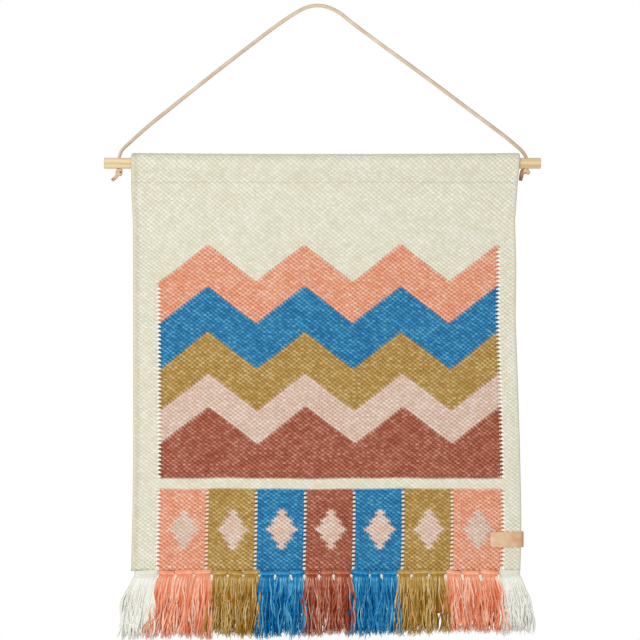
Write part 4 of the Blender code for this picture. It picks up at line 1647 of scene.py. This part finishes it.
@dataclass
class HangerLace:
    """Flat leather lace from one end of the rod over the peg to the other, knotted under both holes."""

    width: float = 0.004
    half_wide: float = 0.0024
    half_thick: float = 0.0014
    end_z: float = -0.2076
    spacing: float = 0.0036
    tail_thick: tuple[float, float] = (0.0013, 0.0009)
    tail_twist: float = 0.6
    turn_wide: float = 0.0024
    turn_thick: float = 0.0012
    # Where along the lace the painted shade moves from one edge to the other.
    shaded_edge_swap: float = -0.16
    route: tuple[tuple[float, float], ...] = (
        (-0.2543, -0.2076), (-0.2543, -0.1950), (-0.2510, -0.1855), (-0.2403, -0.1747), (-0.2190, -0.1556),
        (-0.1763, -0.1211), (-0.1335, -0.0869), (-0.0909, -0.0541), (-0.0481, -0.0218), (-0.0267, -0.0077),
        (-0.0140, -0.0010), (0.0, 0.0020), (0.0155, -0.0004), (0.0300, -0.0075), (0.0442, -0.0188),
        (0.0836, -0.0483), (0.1231, -0.0770), (0.1626, -0.1063), (0.2019, -0.1359), (0.2415, -0.1656),
        (0.2553, -0.1769), (0.2651, -0.1858), (0.2709, -0.1950), (0.2709, -0.2076),
    )
    finish: LeatherFinish = LeatherFinish("lace_leather", linear(214, 191, 167), linear(164, 142, 118))
    # The knots' dark edge colour also paints the shadow they lie in.
    knot_finish: LeatherFinish = LeatherFinish(
        "knot_leather", linear(226, 190, 156), linear(132, 90, 60), 200.0
    )
    knots: tuple[LaceKnot, ...] = (
        LaceKnot(
            "lace_knot_left", "knot_left", -0.2543,
            (
                KnotTurn(0.0002, 0.0034, 0.0033, 0.0031, 0.42),
                KnotTurn(-0.0001, 0.0066, 0.0033, 0.0030, -0.38, 0.3),
            ),
            (
                (0.0, 0.0, 0.0004), (0.0002, 0.0006, -0.0030), (-0.0004, -0.0012, -0.0064),
                (-0.0014, -0.0018, -0.0092), (-0.0034, -0.0012, -0.0114), (-0.0062, 0.0, -0.0136),
                (-0.0090, 0.0006, -0.0156),
            ),
            0.0021,
            (0.4, 0.0, 0.5),
        ),
        LaceKnot(
            "lace_knot_right", "knot_right", 0.2709,
            (
                KnotTurn(0.0004, 0.0042, 0.0034, 0.0030, -0.70),
                KnotTurn(-0.0012, 0.0036, 0.0030, 0.0027, 0.62, -0.3),
            ),
            (
                (0.0, 0.0, 0.0004), (-0.0022, 0.0004, -0.0012), (-0.0046, -0.0008, -0.0034),
                (-0.0062, -0.0014, -0.0066), (-0.0068, -0.0010, -0.0100), (-0.0073, -0.0004, -0.0132),
                (-0.0077, 0.0, -0.0162),
            ),
            0.0028,
            (1.0, 0.6, 1.0),
        ),
    )

    def line(self, points: tuple[tuple[float, float], ...], spacing: float) -> numpy.ndarray:
        """Read a smooth centripetal curve through points at an even spacing.

        Args:
            points: Points of the route as x and z.
            spacing: Distance between the points that are returned.

        Returns:
            The points in metres, a row each.
        """
        route = [Vector((x, 0.0, z)) for x, z in points]
        padded = [2 * route[0] - route[1], *route, 2 * route[-1] - route[-2]]
        fine = []
        for four in zip(padded, padded[1:], padded[2:], padded[3:]):
            knots = [0.0]
            for before, after in zip(four, four[1:]):
                knots.append(knots[-1] + math.sqrt((after - before).length))
            for step in range(24):
                place = knots[1] + (knots[2] - knots[1]) * step / 24
                level = list(four)
                for degree, ends in ((1, 3), (2, 2)):
                    level = [
                        mix_points(level[k], level[k + 1], knots[k], knots[k + degree], place)
                        for k in range(ends)
                    ]
                fine.append(mix_points(level[0], level[1], knots[1], knots[2], place))
        fine.append(route[-1])
        dense = numpy.array([tuple(point) for point in fine])
        travelled = travel(dense)
        wanted = numpy.linspace(0.0, travelled[-1], round(travelled[-1] / spacing) + 1)
        return read_path(wanted, travelled, dense)

    def build_knot(self, knot: LaceKnot, finish: bpy.types.Material) -> bpy.types.Object:
        """Tie one knot: the lace's end runs through its turns and out as a tail."""
        work = YarnMesh("strap")
        origin = numpy.array([knot.hole_x, 0.0, self.end_z])
        points = numpy.array(knot.core)
        core = read_path(numpy.linspace(0, len(points) - 1, 22), numpy.arange(len(points)), points)
        core[1:-1] = (core[:-2] + 2 * core[1:-1] + core[2:]) / 4
        wide = numpy.linspace(knot.tail_width + 0.0004, knot.tail_width, len(core))
        thick = numpy.linspace(*self.tail_thick, len(core))
        twist = numpy.linspace(0.0, self.tail_twist, len(core))
        # Painted shadow darkens the tail along its length.
        tail_shades = knot.tail_shade
        tone_and_shade = numpy.interp(numpy.linspace(0, len(tail_shades) - 1, len(core)), range(len(tail_shades)), tail_shades)
        work.sweep(core + origin, wide, thick, 12, twist=twist, square=4.0, tone_and_shade=tone_and_shade, edges=(0.4, 0.4))
        angle = round_angles(24)
        wide, thick = numpy.full(len(angle), self.turn_wide), numpy.full(len(angle), self.turn_thick)
        for turn in knot.turns:
            flat = turn.radius * numpy.cos(angle)
            deep = turn.depth * numpy.sin(angle)
            x = turn.across + flat * math.cos(turn.tilt)
            z = -turn.down + flat * math.sin(turn.tilt) + deep * turn.lean
            ring = numpy.stack([x, deep, z], axis=1) + origin
            facing = (math.cos(turn.tilt), 0.0, math.sin(turn.tilt))
            work.sweep(ring, wide, thick, 12, facing=facing, square=3.5, ring=True, edges=(0.6, 0.6))
        return hold(work.finish(knot.name, finish), "lace", knot.node)

    def build(self) -> bpy.types.Object:
        """Cut and tie the lace, and return it."""
        leather = self.knot_finish.material()
        tied = [self.build_knot(knot, leather) for knot in self.knots]
        path = self.line(self.route, self.spacing)
        part = numpy.linspace(-1, 1, len(path))
        face_on = 0.08 + 0.66 * (1 - part**8) + 0.16 * numpy.exp(-((part / 0.3) ** 2))
        twist = 0.12 * numpy.sin(9 * part) - (1 - face_on) * math.pi / 2
        wide, thick = numpy.full(len(path), self.half_wide), numpy.full(len(path), self.half_thick)
        # Darker edges: the cut edges' own tone, and painted shade on the edge turned from the light, which
        # changes sides part way along.
        right_hand = 1 / (1 + numpy.exp(-(part - self.shaded_edge_swap) / 0.05))
        edges = (0.6 * (1 - right_hand), 0.1 + 0.3 * right_hand)
        work = YarnMesh("strap")
        work.sweep(path, wide, thick, 16, twist=twist, square=4.0, edges=edges, grade=1.3)
        lace = work.finish("lace_strap", self.finish.material())
        hold(lace, "lace", "hanger_lace")
        return lace


def mix_points(start: Vector, end: Vector, low: float, high: float, place: float) -> Vector:
    """Blend two points by where a place lies between two knots."""
    return start * ((high - place) / (high - low)) + end * ((place - low) / (high - low))


# The tag

@dataclass
class LeatherTag:
    """Bare leather tag folded round the right edge, with its corners cut round."""

    form: ClothForm = ClothForm()
    left: float = 0.2241
    right: float = 0.2672
    top: float = -0.6760
    bottom: float = -0.6958
    thickness: float = 0.0013
    fold_radius: float = 0.00315
    corner: float = 0.0026
    cloth_to: float = 0.2625
    # The cut edges are drawn darker: their own tone, with painted shade round them.
    edge_reach: float = 0.0008
    edge_shade: float = 0.25
    # Painted shade round the fold.
    fold_reach: float = 0.0022
    # Darker towards the fold on the right.
    warm_from: float = 0.2350
    warm_dark: float = 0.45
    finish: LeatherFinish = LeatherFinish("tag_leather", linear(220, 184, 148), linear(166, 112, 56), 90.0)

    @property
    def fold_x(self) -> float:
        """Where the leaves end and the fold begins."""
        return self.right - self.thickness / 2 - self.fold_radius

    def place(self, along: float, up: float) -> Vector:
        """Return a point of the folded strip's middle.

        Args:
            along: Distance along the strip from the front leaf's free end.
            up: Height from the strip's lower edge.
        """
        leaf = self.fold_x - self.left
        turn = math.pi * self.fold_radius
        z = self.bottom + up
        if along < leaf:
            x, y = self.left + along, -self.fold_radius
        elif along < leaf + turn:
            angle = (along - leaf) / self.fold_radius
            x = self.fold_x + self.fold_radius * math.sin(angle)
            y = -self.fold_radius * math.cos(angle)
        else:
            x, y = self.fold_x - (along - leaf - turn), self.fold_radius
        cloth_y = self.form.depth_at(min(x, self.cloth_to), z) - self.form.thickness / 2
        return Vector((x, y + cloth_y, z))

    def tone_and_shade(self, x: float, z: float) -> float:
        """Return how dark the leather is drawn at a place: at its cut edges, their own tone with painted
        shade; darker towards the fold; and painted shade round the fold.
        """
        edge = min(self.top - z, z - self.bottom, (x - self.left) * 1.4)
        bend = min(1.0, 1 - (self.right - x) / self.fold_reach)
        warm = self.warm_dark * (x - self.warm_from) / (self.right - self.warm_from)
        return max(0.0, self.edge_shade * min(1.0, 1 - edge / self.edge_reach), warm, bend)

    def build(self) -> bpy.types.Object:
        """Cut, fold and finish the tag, and return it."""
        length = 2 * (self.fold_x - self.left) + math.pi * self.fold_radius
        height = self.top - self.bottom
        bpy.ops.object.select_all(action="DESELECT")
        bpy.ops.mesh.primitive_grid_add(x_subdivisions=96, y_subdivisions=14, size=1.0)
        tag = bpy.context.object
        tag.name = "tag_strip"
        for vertex in tag.data.vertices:
            along = (vertex.co.x + 0.5) * length
            short = self.corner - min(along, length - along, self.corner)
            pull = self.corner - math.sqrt(self.corner**2 - short**2)
            vertex.co = self.place(along, height / 2 + vertex.co.y * (height - 2 * pull))
        tag.data.update()
        leather = tag.modifiers.new("leather", "SOLIDIFY")
        leather.thickness = self.thickness
        leather.offset = 0.0
        soft = tag.modifiers.new("edges", "BEVEL")
        soft.width = 0.0003
        soft.segments = 2
        soft.angle_limit = math.radians(50)
        apply_modifiers(tag)
        give_values(tag.data, "rim", [self.tone_and_shade(vertex.co.x, vertex.co.z) for vertex in tag.data.vertices])
        redress(tag, self.finish.material())
        tag.data.shade_smooth()
        return hold(tag, "tag", "leather_tag")


# Sewing

@dataclass
class Sewing:
    """Cotton stitches: the row that closes the sleeve, and the two that hold the tag's front leaf."""

    form: ClothForm = ClothForm()
    tag: LeatherTag = field(default_factory=LeatherTag)
    first_x: float = -0.2310
    row_length: float = 0.488
    spacing: float = 0.0070
    uneven: float = 0.0003
    front_y: float = -0.0036
    length: float = 0.0030
    slope: float = 0.35
    tag_length: float = 0.0034
    tag_inset: float = 0.0030
    finish: ThreadFinish = ThreadFinish("sewing_thread", linear(214, 208, 186), 1.5)
    tag_finish: ThreadFinish = ThreadFinish("tag_thread", linear(238, 214, 196), 1.2)

    def model_stitch(self) -> bpy.types.Object:
        """Model one stitch of unit length along x: a rounded thread that dips at both ends."""
        bpy.ops.object.select_all(action="DESELECT")
        bpy.ops.mesh.primitive_cylinder_add(
            vertices=8, radius=0.13, depth=1.0, rotation=(0, math.pi / 2, 0)
        )
        stitch = settle(bpy.context.object)
        for x in (-0.25, 0.25, 0.0):
            with edit_mode():
                bpy.ops.mesh.bisect(plane_co=(x, 0, 0), plane_no=(1, 0, 0))
        for vertex in stitch.data.vertices:
            out = abs(vertex.co.x) / 0.5
            vertex.co.y = vertex.co.y * (1 - 0.5 * out**3) + 0.34 * out**2
            vertex.co.z *= 1 - 0.45 * out**3
        return stitch

    def row(
        self, name: str, finish: ThreadFinish, stitches: list[tuple[Point, float, float]]
    ) -> bpy.types.Object:
        """Sew a row of stitches.

        Args:
            name: The piece's name.
            finish: Its thread.
            stitches: Middle, length and turn of each stitch.
        """
        places = [
            Matrix.Translation(middle) @ Matrix.Rotation(turn, 4, "Y") @ Matrix.Scale(length, 4)
            for middle, length, turn in stitches
        ]
        return scatter(self.model_stitch(), name, places, finish.material())

    def build(self) -> list[bpy.types.Object]:
        """Sew the sleeve's row and the tag's corners, and return both pieces."""
        draw = numpy.random.default_rng(4)
        seam = []
        for step in range(int(self.row_length / self.spacing)):
            x = self.first_x + self.spacing * (step + 0.5) + draw.normal(0, self.uneven)
            z = self.form.seam_z + draw.normal(0, self.uneven)
            seam.append(((x, self.front_y, z), self.length, self.slope + draw.normal(0, 0.1)))
        seam_row = hold(self.row("sleeve_stitches", self.finish, seam), "cloth")
        corners = []
        tag = self.tag
        front_y = -self.form.thickness / 2 - tag.fold_radius - tag.thickness / 2 - 0.0001
        for z in (tag.top - self.tag_inset, tag.bottom + self.tag_inset):
            x = tag.left + 0.0010
            corners.append(((x, front_y + self.form.depth_at(x, z), z), self.tag_length, 0.0))
        tag_row = hold(self.row("tag_stitches", self.tag_finish, corners), "tag")
        return [seam_row, tag_row]


# The studio

@dataclass
class Studio:
    """Camera straight on, a pale room, a soft key light from the upper left and a pale floor."""

    centre: Point = (0.0048, 0.0, -0.4033)
    view_width: float = 0.8248
    distance: float = 2.7
    floor_z: float = -1.3
    floor_radius: float = 3.0
    room_light: float = 0.472
    room_slope: float = 0.22
    key_place: Point = (-0.7, -2.8, -0.05)
    key_size: float = 2.0
    key_power: float = 51.0
    finish: FloorFinish = FloorFinish()

    def place_camera(self) -> None:
        """Set the camera straight in front of the hanging, as in the photograph."""
        data = bpy.data.cameras.new("camera")
        data.sensor_width = 36
        data.lens = data.sensor_width * self.distance / self.view_width
        camera = bpy.data.objects.new("camera", data)
        camera.location = Vector(self.centre) + Vector((0, -self.distance, 0))
        camera.rotation_euler = (math.pi / 2, 0, 0)
        bpy.context.scene.collection.objects.link(camera)
        bpy.context.scene.camera = camera

    def light(self, name: str, place: Point, size: float, power: float) -> None:
        """Hang one soft square light that looks at the hanging's middle."""
        data = bpy.data.lights.new(name, "AREA")
        data.size = size
        data.energy = power
        lamp = bpy.data.objects.new(name, data)
        lamp.location = place
        lamp.rotation_euler = (Vector(self.centre) - Vector(place)).to_track_quat("-Z", "Y").to_euler()
        bpy.context.scene.collection.objects.link(lamp)

    def light_room(self) -> None:
        """Fill the room with even light in front of a white surround."""
        world = bpy.data.worlds.new("room")
        bpy.context.scene.world = world
        world.use_nodes = True
        tree = world.node_tree
        even = tree.nodes["Background"]
        way, parts, brightness, white, seen, choice = (
            tree.nodes.new("ShaderNode" + kind)
            for kind in ("TexCoord", "SeparateXYZ", "MapRange", "Background", "LightPath", "MixShader")
        )
        brightness.inputs["From Min"].default_value = -1.0
        brightness.inputs["To Min"].default_value = self.room_light * (1 - self.room_slope)
        brightness.inputs["To Max"].default_value = self.room_light * (1 + self.room_slope)
        for background in (even, white):
            background.inputs["Color"].default_value = (1.0, 1.0, 1.0, 1.0)
        for output, socket in (
            (way.outputs["Generated"], parts.inputs[0]),
            (parts.outputs[2], brightness.inputs["Value"]),
            (brightness.outputs[0], even.inputs["Strength"]),
            (seen.outputs["Is Camera Ray"], choice.inputs[0]),
            (even.outputs[0], choice.inputs[1]),
            (white.outputs[0], choice.inputs[2]),
            (choice.outputs[0], tree.nodes["World Output"].inputs[0]),
        ):
            tree.links.new(output, socket)

    def build(self) -> None:
        """Lay the floor and set the lights."""
        bpy.context.scene.view_settings.view_transform = "Standard"
        self.light_room()
        self.light("key_light", self.key_place, self.key_size, self.key_power)
        bpy.ops.object.select_all(action="DESELECT")
        bpy.ops.mesh.primitive_circle_add(
            vertices=64, radius=self.floor_radius, fill_type="NGON", location=(0, 0, self.floor_z)
        )
        floor = bpy.context.object
        floor.name = "studio_floor"
        with edit_mode():
            bpy.ops.mesh.extrude_region_move(TRANSFORM_OT_translate={"value": (0, 0, -0.02)})
            bpy.ops.mesh.select_all(action="SELECT")
            bpy.ops.mesh.normals_make_consistent(inside=False)
        settle(floor).data.materials.append(self.finish.material())


def main() -> None:
    """Build the studio and the hanging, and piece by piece."""
    logging.basicConfig(level=logging.INFO, format="%(message)s")
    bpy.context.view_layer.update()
    studio = Studio()
    studio.place_camera()
    HangerLace().build()
    rod = Rod().build()
    fringe = Fringe()
    tassels = fringe.build()
    ends = WarpEnds(fringe).build()
    LeatherTag().build()
    Sewing().build()
    WovenPanel().build(rod, ends, *tassels)
    studio.build()
    LOG.info("sizes written")


if __name__ == "__main__":
    main()
